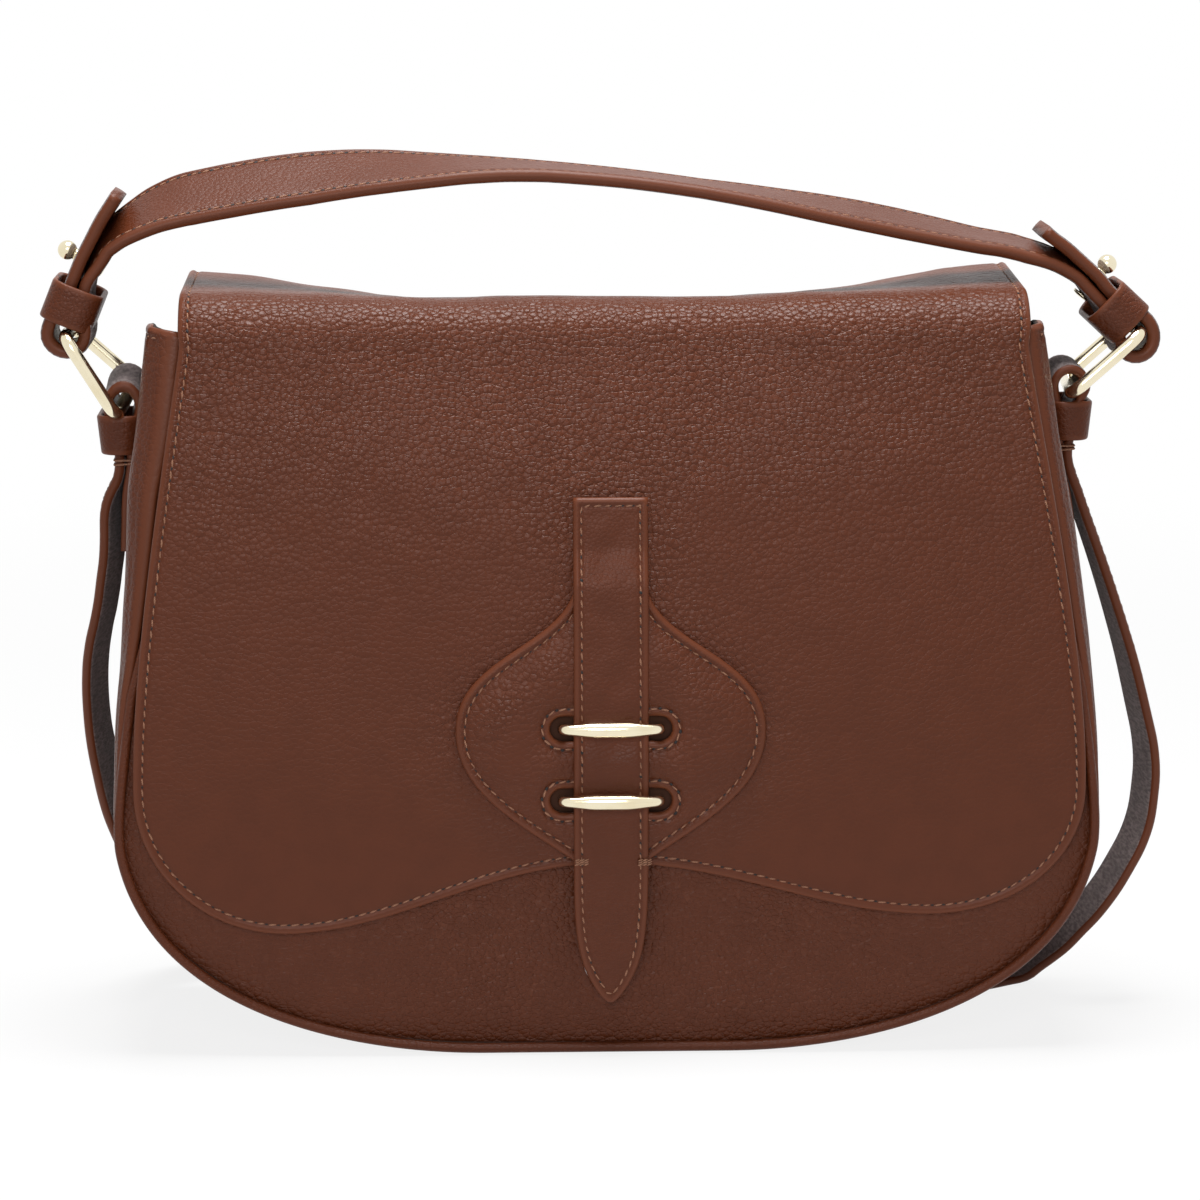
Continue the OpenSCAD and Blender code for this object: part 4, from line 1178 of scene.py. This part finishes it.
ring = {"wire": 0.0019, "half": 0.0144, "corner": 0.0036,
        "sag": {-1: (-0.0034, -0.0068), 1: (-0.002, -0.0014)}}
tab = {"wide": 0.021, "thick": 0.0025, "seam": {"deep": 0.00028, "inset": 0.0024, "rim": 0.00012},
       "innerEnd": 0.1405, "eye": 0.0046, "eyeAt": {-1: (0.1362, 0.1869), 1: (0.1326, 0.1876)},
       "legs": {-1: (0.1343, 0.1378), 1: (0.1297, 0.1328)}}
keeper = {"thick": 0.0015, "seam": None, "wide": 0.0112, "taper": 0.2, "half": 0.0052,
          "at": {-1: (-0.1375, 0.1738), 1: (0.1329, 0.1767)}}
bars, rings, tabLines, tabKeepers = {}, {}, {}, {}


# The ring leans on its tab, so its front corner hangs lower than the back one
def sagged(points, way, xShare=1.0):
    lower, upper = bars[way]
    share = np.clip((ring["half"] - points[:, 1]) / (2 * ring["half"]), 0, 1)
    fall = np.clip((upper[1] - points[:, 2]) / (upper[1] - lower[1]), 0, 1)
    share = share * fall * smooth(points[:, 2], 0.168, 0.18)
    return points + share[:, None] * np.array([ring["sag"][way][0] * xShare, 0, ring["sag"][way][1]])


for key, way in (("left", -1), ("right", 1)):
    low, high = (np.array(c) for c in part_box("ring_" + key))
    wire = ring["wire"]
    near, far = (high[0] - wire, low[0] + wire) if way < 0 else (low[0] + wire, high[0] - wire)
    lower, upper = np.array([near, low[2] + wire]), np.array([far, high[2] - wire])
    bars[way] = (lower, upper)
    lean = unit(upper - lower)
    tall = float(np.linalg.norm(upper - lower)) / 2
    loop = roundedLoop(ring["half"], tall, ring["corner"])
    middle = (lower + upper) / 2
    line = np.stack([middle[0] + loop[:, 1] * lean[0], loop[:, 0], middle[1] + loop[:, 1] * lean[1]], 1)
    line = sagged(resampled(line, 0.0009, True), way)
    outward = np.array([lean[1], 0, -lean[0]])
    rings[way] = sweep("ring" + key.title(), line, outward, roundProfile(wire, 18), [paleGold], closed=True)
    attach(rings[way], "ring_" + key)
    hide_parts("ring_" + key)

    legIn, legOut = tab["legs"][way]
    inner = [(max(float(bodyX(z, way)) + 0.0012, 0), z) for z in (tab["innerEnd"], 0.148, 0.156)]
    inner += [(legIn, 0.165), (legIn, 0.1705), (legIn - 0.0002, 0.178)]
    centre = np.array(tab["eyeAt"][way])
    turn = np.radians([196, 170, 144, 118, 92, 66, 40, 14, -14])
    eye = centre + tab["eye"] * np.stack([np.cos(turn), np.sin(turn)], 1)
    down = [(legOut + 0.0006, 0.1795), (legOut, 0.1745)]
    line = throughPoints(np.array([*inner, *eye, *down]), 0.0011)
    line = np.stack([way * line[:, 0], np.zeros(len(line)), line[:, 1]], 1)
    piece = strapPiece("tab" + key.title(), line, (0, -way, 0), tab, [strapLeather, suede], 0.6)
    reshape(piece, lambda points: sagged(points, way, 0.0))
    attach(piece, "bag_body")
    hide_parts("side_tab_" + key)
    tabLines[way] = line

    x, z = keeper["at"][way]
    loop = resampled(roundedLoop(keeper["half"], 0.0115, 0.0042), 0.0009, True)
    line = np.stack([x + loop[:, 0], loop[:, 1], np.full(len(loop), z)], 1)
    piece = keeperPiece("tabKeeper" + key.title(), line, (0, 0, 1), keeper)
    reshape(piece, lambda points: points + (points - [x, 0, 0]) * [1, 0, 0]
            * keeper["taper"] * (points[:, 2:] - z) / keeper["wide"])
    tabKeepers[way] = piece
    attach(piece, "bag_body")
    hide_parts("tab_keeper_" + key)

# Handle: one doubled strap from ring to ring, with a keeper and a stud at each end

handle = {"wide": 0.023, "thick": 0.0036, "seam": {"deep": 0.0003, "inset": 0.0026, "rim": 0.00012}}
# The strap seen from the front: x and height, from each tail round its ring and on to the arch
leftEnd = [(-137.2, 241.4), (-138.9, 238.8), (-141.5, 234.8), (-144.5, 229.2), (-147.4, 223.6),
           (-149.3, 219.2), (-150.9, 215.2), (-152.8, 211.6), (-155.2, 208.2), (-156.9, 204.9),
           (-157.3, 201.6), (-155.6, 198.8), (-152.6, 197.4), (-149.4, 197.8), (-147.2, 199.8),
           (-146.4, 203), (-146.6, 207.2), (-146.8, 210.5), (-146.6, 213.8), (-145.7, 217.4),
           (-144.3, 220.9)]
rightEnd = [(124.9, 230.8), (127.3, 228.7), (130.5, 226.4), (133.6, 223.7), (136.5, 221.1),
            (138.8, 219), (140.9, 216.8), (142.8, 214.4), (145.2, 212), (148, 209.8), (151.2, 208),
            (154.2, 205.8), (156, 202.8), (156.3, 199.5), (155.2, 196.7), (152.8, 195), (150, 194.9),
            (147.6, 196.4), (146.6, 199), (146.1, 201.6), (144.9, 204.1), (143.4, 206.7),
            (141.6, 209.6), (139.6, 211.9), (137.4, 214.6)]
# The arch: x, height and how far its front edge hangs below the back one, in degrees
archAt = [(-142, 226.2, 12.4), (-140, 228.4, 13.6), (-137, 230.9, 16.2), (-134, 232.8, 18.8),
          (-131, 234.5, 21.6), (-128, 236.1, 24.7), (-125, 237.4, 27.2), (-121, 238.8, 30.3),
          (-117.3, 239.8, 32), (-106.1, 242, 33), (-95, 243.9, 32.9), (-83.8, 245.4, 31.9),
          (-72.6, 246.6, 27.7), (-61.5, 247.3, 22.4), (-50.3, 247.6, 15.8), (-39.1, 247.8, 9.8),
          (-27.9, 247.7, 5.6), (-16.8, 247.2, 3.1), (-5.6, 246.3, 2.4), (5.6, 245.2, 1.8),
          (16.8, 243.8, 1.8), (27.9, 242.2, 2), (39.1, 240.5, 4.1), (50.3, 238.6, 6.3),
          (61.5, 236.6, 9.1), (72.6, 234.5, 10.7), (83.8, 232.2, 10.8), (95, 229.8, 9.5),
          (106.1, 227.4, 7.6), (112, 226.4, 6.8), (117.3, 225.3, 7.4), (120, 224.5, 7.3),
          (124, 223.4, 6.7), (128, 222, 6.3), (132, 219.9, 6), (134.9, 217.6, 4)]
arch = mm * np.array(archAt)
handleRoute = [mm * np.array(leftEnd), arch[:, :2], mm * np.array(rightEnd)[::-1]]
handlePath = throughPoints(np.concatenate(handleRoute), 0.0015)
handleRun = runOf(handlePath)
ends = [(run, mm * runOf(np.array(line))[-1])
        for run, line in ((handleRun, leftEnd), (handleRun[-1] - handleRun, rightEnd))]
intoArch = np.prod([smooth(run, end - 0.006, end + 0.006) for run, end in ends], axis=0)
twist = np.radians(np.interp(handlePath[:, 0], arch[:, 0], arch[:, 2] / mm)) * intoArch
handle3d = np.stack([handlePath[:, 0], np.zeros(len(handlePath)), handlePath[:, 1]], 1)
alongHandle = tangents(handle3d)
handleUp = np.cross(alongHandle, (0, 1, 0))
handleUp *= np.sign(handleUp[len(handleUp) // 2, 2])
handleSide = np.cos(twist)[:, None] * np.array([0, 1, 0]) + np.sin(twist)[:, None] * handleUp
handleStrap = strapPiece("handleStrap", handle3d, handleSide, handle, [strapLeather, suede], 0.5)
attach(handleStrap, "handle")
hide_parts("handle_strap", "handle_lining")


# A round piece from its profile of heights and radii along an axis
def turned(name, base, axis, profile, finish, count=32):
    side = unit(np.cross(axis, (0, 1, 0.01)))
    other = np.cross(axis, side)
    a = np.linspace(0, 2 * math.pi, count, endpoint=False)
    circle = np.cos(a)[:, None] * side + np.sin(a)[:, None] * other
    circles = [base + axis * h + r * circle for h, r in profile]
    ends = [base[None] + axis * profile[i][0] for i in (0, -1)]
    points = np.concatenate([ends[0], *circles, ends[1]])
    faces = [(0, 1 + (j + 1) % count, 1 + j) for j in range(count)]
    for i in range(len(profile) - 1):
        for j in range(count):
            low, k = 1 + i * count, (j + 1) % count
            faces.append((low + j, low + k, low + count + k, low + count + j))
    last = 1 + (len(profile) - 1) * count
    faces += [(len(points) - 1, last + j, last + (j + 1) % count) for j in range(count)]
    return makePiece(name, points, faces, [finish])


stud = {"ball": 0.00275, "reach": 0.0031, "neckR": 0.0017, "headR": 0.0026,
        -1: {"ball": (-0.1519, 0.2254), "screw": (-0.1424, 0.2205)},
        1: {"ball": (0.144, 0.2204), "screw": (0.1369, 0.2119)}}
band = {-1: {"at": (-0.1503, 0.2103), "lean": 22, "half": 0.0069, "length": 0.0115},
        1: {"at": (0.1461, 0.2073), "lean": 47, "half": 0.0067, "length": 0.011}}
studBalls = {}
for key, way in (("left", -1), ("right", 1)):
    centre, screw = (np.array([p[0], 0, p[1]]) for p in (stud[way]["ball"], stud[way]["screw"]))
    outward = unit(centre - screw)
    turnAt = np.linspace(math.radians(36), math.radians(178), 16)
    profile = [(0, 0.0023), (0.0003, 0.0023), (0.0005, stud["neckR"])]
    profile += [(stud["reach"] - stud["ball"] * math.cos(a), stud["ball"] * math.sin(a)) for a in turnAt]
    ball = turned("studBall" + key.title(), centre - outward * stud["reach"], outward, profile, paleGold)
    studBalls[way] = ball
    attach(ball, "handle")
    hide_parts("stud_ball_" + key)
    rim = stud["headR"]
    profile = [(-0.0075, 0.0012), (-0.0001, 0.0012), (0, rim), (0.0004, rim), (0.0007, rim * 0.94),
               (0.0009, rim * 0.8), (0.00105, rim * 0.5), (0.0011, rim * 0.2)]
    piece = turned("studScrew" + key.title(), screw, -outward, profile, paleGold)
    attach(piece, "handle")
    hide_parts("stud_screw_" + key)

    size = band[way]
    lean = math.radians(size["lean"])
    axis = np.array([-way * math.sin(lean), 0, math.cos(lean)])
    across = np.array([axis[2], 0, -axis[0]])
    loop = resampled(roundedLoop(size["half"], 0.0126, 0.0046), 0.0009, True)
    middle = np.array([size["at"][0], 0, size["at"][1]])
    line = middle + loop[:, :1] * across + loop[:, 1:] * np.array([0, 1, 0])
    piece = keeperPiece("handleKeeper" + key.title(), line, axis, dict(keeper, wide=size["length"]))
    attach(piece, "handle")
    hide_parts("handle_keeper_" + key)
print("ends and handle made")

# Lining, pocket and small metal parts inside

liningSize = {"gap": 0.0036, "thick": 0.001, "hem": 0.19, "wrinkle": 0.0005}
liningGrid = {"thick": liningSize["thick"], "step": 0.0045, "edgeStep": 0.003}


def liningCut(way):
    line = insetLine(0.0062, liningSize["hem"])

    def surface(x, z):
        fold = waves(51 + way, 0.05, x, z * 0.5) + 0.5 * waves(53 + way, 0.018, x, z)
        fold = liningSize["wrinkle"] * fold
        y = way * (panelY(z) - liningSize["gap"] + fold * 0.6) + (way < 0) * frontRoll(x, z)
        return np.stack([x, y, z], 1)

    return {"outline": line, "surface": surface, "facing": lambda x, z: np.array([[0, -way, 0]]),
            "insets": (0.4, 1.0, 2.0, 3.4), **liningGrid}


liningPath = offsetLine(bodyLine, -0.0052)
liningPath = liningPath[liningPath[:, 1] < liningSize["hem"]]
liningRun = runOf(liningPath)


def liningSide(s, y):
    at, out = rowsAt(s, liningRun, liningPath), rowsAt(s, liningRun, rightOf(liningPath))
    deep = panelY(at[:, 1]) - liningSize["gap"] - 0.0012
    bend = 0.006 * np.clip(1 - (deep - np.abs(y)) / 0.012, 0, 1) ** 2 * smooth(at[:, 1], 0.06, 0.1)
    fold = liningSize["wrinkle"] * waves(57, 0.03, s, y)
    at = at - unit(out) * (bend + fold)[:, None]
    return np.stack([at[:, 0], y, at[:, 1]], 1)


sideEdge = np.stack([liningRun, panelY(liningPath[:, 1]) - liningSize["gap"] - 0.0012], 1)
sideCut = {"outline": np.concatenate([sideEdge, (sideEdge * [1, -1])[::-1]]), "surface": liningSide,
           "facing": lambda s, y: -gussetFacing(s * gussetRun[-1] / liningRun[-1], y),
           "insets": (0.4, 1.0, 2.0, 3.4, 5.0, 7.0), **liningGrid}
for name, cut in (("liningFront", liningCut(-1)), ("liningBack", liningCut(1)), ("liningSides", sideCut)):
    piece = sheet(name, cut, [liningSuede])
    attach(piece, "bag_body")
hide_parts("lining")

low, high = (np.array(c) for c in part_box("inner_pocket"))
pocketHalf, pocketTop, pocketLow = (high[0] - low[0]) / 2, high[2], low[2]
corner = roundedLoop(pocketHalf, (pocketTop - pocketLow) / 2, 0.012) + [0, (pocketTop + pocketLow) / 2]


def pocketSurface(x, z):
    gape = 0.0012 * bell(x, 0, 0.04) * smooth(z, pocketLow + 0.01, pocketTop)
    return np.stack([x, panelY(z) - liningSize["gap"] - 0.0018 - gape, z], 1)


pocketCut = {"outline": corner, "facing": lambda x, z: np.array([[0, -1, 0]]), "thick": 0.0009,
             "step": 0.004, "surface": pocketSurface, "seam": {"deep": 0.0002, "inset": 0.0024}}
pocket = sheet("innerPocket", pocketCut, [liningSuede])
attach(pocket, "bag_body")
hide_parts("inner_pocket")
across = np.linspace(-pocketHalf + 0.009, pocketHalf - 0.009, 60)
trim = pocketSurface(across, np.full(60, pocketTop))
piece = sweep("pocketTrim", trim, (0, 0, 1), roundedLoop(0.0035, 0.0011, 0.0006, 4), [strapLeather],
              attributes={"edgeDist": np.full((1, 1), 0.01), "grain": np.full((1, 1), 0.4)})
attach(piece, "bag_body")

# Pieces that stay as the CAD has them
cadFinishes = {"magnet_socket": brushedSteel, "magnet_backing": brushedSteel, "magnet_stud": brushedSteel,
               "base_board": liningSuede, "loop_plate": darkPlate}
for name, finish in cadFinishes.items():
    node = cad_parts[name]
    node.data.materials.clear()
    node.data.materials.append(finish)
print("lining and small metal made")

# Seams


def seamLine(outline, inset, step=0.0006):
    line = resampled(outline, step, True)
    moved = offsetLine(line, inset * inwardOf(line), True)
    return moved[distanceTo(moved, line) > inset * 0.985]


# The parts of a closed line where keep holds, each an open line in order
def keptRuns(line, keep, shortest=0.004):
    start = int(np.argmin(keep))
    line, keep = np.roll(line, -start, 0), np.roll(keep, -start)
    changes = np.nonzero(np.diff(keep.astype(int)))[0] + 1
    parts = [line[a:b] for a, b in zip([0, *changes], [*changes, len(line)]) if keep[a]]
    return [p for p in parts if np.linalg.norm(p.max(0) - p.min(0)) > shortest]


def sewnOn(cut, rows):
    return [(*onSheet(cut, row, stitch["sink"]), False) for row in rows]


edge = seamLine(flapCut["outline"], flap["seam"]["inset"])
rows = keptRuns(edge, edge[:, 1] < splitV)
for piece in seamRow("flapStitches", sewnOn(flapCut, rows)):
    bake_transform(piece)
rear = edge[edge[:, 1] > splitV]
rows = [rear[rear[:, 0] * way > 0.1] for way in (-1, 1)]
rows = [r[np.argsort(r[:, 1])] for r in rows]
across = np.stack([np.linspace(-0.116, 0.116, 300), np.full(300, flapFar - flap["seam"]["inset"])], 1)
for piece in seamRow("flapBackStitches", sewnOn(flapCut, rows + [across])):
    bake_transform(piece)

edge = seamLine(spadeCut["outline"], spadeCut["seam"]["inset"])
rows = sewnOn(spadeCut, keptRuns(edge, np.abs(edge[:, 0]) > closureStrap["wide"] / 2 - 0.0012))
for z in loopZ:
    line = resampled(stadium(z, closure["slotR"] + 0.0021, slotHalf), 0.0005, True)
    rows.append((*onSheet(spadeCut, line), True))
for piece in seamRow("spadeStitches", rows):
    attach(piece, "flap_front")

edge = seamLine(strapCut["outline"], closureStrap["seam"]["inset"])
rows = keptRuns(edge, edge[:, 1] < closure["strapTop"] - 0.0015)
for piece in seamRow("closureStitches", sewnOn(strapCut, rows), Pitch=0.0029, Length=0.0023):
    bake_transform(piece)

edge = seamLine(gussetSheet["outline"], gussetCut["seam"]["inset"], 0.0008)
atTop = [edge[:, 0] < gussetEdge[0, 0] + 0.0034, edge[:, 0] > gussetEdge[-1, 0] - 0.0034]
rims = [edge[near & (np.abs(edge[:, 1]) < topDepth - 0.004)] for near in atTop]
rows = [(*onSheet(gussetSheet, r[np.argsort(r[:, 1])]), False) for r in rims]
for key, way in (("left", -1), ("right", 1)):
    rows += [(sagged(row, way, 0.0), out, closed) for row, out, closed
             in strapRows(tabLines[way], (0, -way, 0), tab, tab["seam"]["inset"], 2, -2)]
for piece in seamRow("sideStitches", rows):
    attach(piece, "bag_body")

rows = strapRows(handle3d, handleSide, handle, handle["seam"]["inset"], 2, -2)
for piece in seamRow("handleStitches", rows):
    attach(piece, "handle")

outside = {"wide": shoulder["wide"], "thick": shoulder["thick"], "seam": {"deep": 0.0, "inset": 0.0024}}
rows = strapRows(strapPath[::-1], strapSide[::-1], outside, 0.0024, 6, -6)
for piece in seamRow("shoulderStitches", rows):
    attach(piece, "bag_body")

tack = {"wide": 0.0025, "rows": 3, "gap": 0.00062}
carriers = [strap, spade, flapFront]
tacks = {}
for key in ("Left", "Right"):
    place, out = placeOn(imagePoints["tack" + key], carriers)
    lines = []
    for i in range(tack["rows"]):
        level = (i - 1) * tack["gap"]
        run = np.linspace(-tack["wide"] / 2, tack["wide"] / 2, 24)
        lines.append((np.array([(place[0] + r, place[1] - 0.0003, place[2] + level) for r in run]),
                      np.tile(np.array((0, -1.0, 0)), (24, 1)), False))
    tacks[key] = stitches("barTack" + key, lines, thread, Pitch=0.0011, Length=0.0017, Width=0.00055,
                          Lean=0.35)
    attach(tacks[key], "flap_front")

for key, way in (("left", -1), ("right", 1)):
    level = keeper["at"][way][1] - keeper["wide"] / 2 - 0.0016
    inside, outside = (way * (leg + more) for leg, more in zip(tab["legs"][way], (-0.0011, 0.0013)))
    loop = roundedLoop(abs(outside - inside) / 2, tab["wide"] / 2 + 0.0001, 0.0006)
    loop = resampled(loop, 0.0006, True)
    for row in (0, 1):
        line = np.stack([(inside + outside) / 2 + loop[:, 0], loop[:, 1],
                         level - row * 0.0011 + 0.0004 * row * loop[:, 0] / 0.005], 1)
        piece = sweep("tabTack" + key.title() + str(row), line, (0, 0, 1), roundProfile(0.0003, 8),
                      [thread], closed=True)
        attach(piece, "bag_body")
print("seams made")

# Stage: a plain pale floor, the world and the lamps


# 1 for rays that show the background, 0 for those that light the object
def anyRay(graph):
    path = graph.tree.nodes.new("ShaderNodeLightPath")
    straight, glossy, through = (Wire(graph, path.outputs["Is " + key + " Ray"])
                                 for key in ("Camera", "Glossy", "Transmission"))
    return straight.maths("MAXIMUM", glossy).maths("MAXIMUM", through)


# The floor, lit near the object and as pale as the background far from it
def paleFinish(name, near, far):
    material, graph, shader = newMaterial(name)
    shader["Base Color"].default_value = (0.86, 0.86, 0.86, 1)
    shader["Roughness"].default_value = 0.9
    shader["Specular IOR Level"].default_value = 0.1
    seen = anyRay(graph)
    place = graph.node("ShaderNodeTexCoord", out="Object")
    away = graph.node("ShaderNodeVectorMath", {"operation": "LENGTH"}, {0: place}, 1)
    glow = graph.node("ShaderNodeEmission", {}, {"Color": (1, 1, 1, 1), "Strength": 1.0})
    plain = shader["Base Color"].node.outputs[0]
    share = seen * (near + (far - near) * graph.step(away, 0.3, 1.1))
    mixed = graph.node("ShaderNodeMixShader", {}, {0: share, 1: Wire(graph, plain), 2: glow})
    end = next(n for n in graph.tree.nodes if n.type == "OUTPUT_MATERIAL")
    graph.tree.links.new(mixed.socket, end.inputs[0])
    return material


level = float(cadBox[0][2]) - 0.0001
floor = makePiece("floor", [(-6, -6, level), (6, -6, level), (6, 6, level), (-6, 6, level)], [(0, 1, 2, 3)],
                  [paleFinish("floorPale", 0.84, 1.0)])

light = {"world": 0.16, "lamps": {"key": {"power": 4.0, "size": 0.4, "at": (-0.12, -1.15, 0.62)},
                                  "top": {"power": 20, "size": 0.6, "at": (0.0, -0.05, 1.25)}}}
world = bpy.data.worlds.new("studio")
scene.world = world
world.use_nodes = True
graph = Graph(world.node_tree)
graph.tree.nodes.clear()
strength = anyRay(graph) * (1 - light["world"]) + light["world"]
back = graph.node("ShaderNodeBackground", {}, {"Color": (1, 1, 1, 1), "Strength": strength})
end = graph.tree.nodes.new("ShaderNodeOutputWorld")
graph.tree.links.new(back.socket, end.inputs[0])

for name, look in light["lamps"].items():
    data = bpy.data.lights.new(name, "AREA")
    data.energy, data.size = look["power"], look["size"]
    lamp = bpy.data.objects.new(name, data)
    lamp.location = look["at"]
    lamp.rotation_euler = (Vector((0, 0, 0.12)) - lamp.location).to_track_quat("-Z", "Y").to_euler()
    scene.collection.objects.link(lamp)

scene.view_settings.view_transform = "Standard"
print("stage made")

# How far each image point is from what shows


def worldPoints(piece):
    turned = np.array(piece.matrix_world)
    return meshPoints(piece) @ turned[:3, :3].T + turned[:3, 3]


def showing(piece, tree, most=900):
    points = worldPoints(piece)
    points = points[::max(1, len(points) // most)]
    eye = camera.matrix_world.translation
    seen = []
    for point in points:
        ray = Vector(point) - eye
        _, _, _, far = tree.ray_cast(eye, ray.normalized())
        seen.append(far is None or far > ray.length - 0.0006)
    return shownAt(points[np.array(seen)]) if any(seen) else np.zeros((0, 2))


shownPieces = {"studBallLeft": studBalls[-1], "studBallRight": studBalls[1], "loopUpper": loops["Upper"],
               "loopLower": loops["Lower"], "ringLeft": rings[-1], "ringRight": rings[1],
               "tabKeeperLeft": tabKeepers[-1], "tabKeeperRight": tabKeepers[1], "tackLeft": tacks["Left"],
               "tackRight": tacks["Right"], "spadePanel": spade, "closureStrap": strap}
solids = [o for o in scene.objects if o.type == "MESH" and o is not floor and not o.hide_render
          and o.name != shoulderStrap.name and "shoulderStitches" not in o.name and "Cube" not in o.name]
tree = treeOf(solids)
everything = shownAt(np.concatenate([worldPoints(o) for o in solids]))
for key, piece in shownPieces.items():
    at = showing(piece, tree)
    if len(at):
        middle = (at.min(0) + at.max(0)) / 2
        [float(middle[i] - imagePoints[key][i]) for i in range(2)]
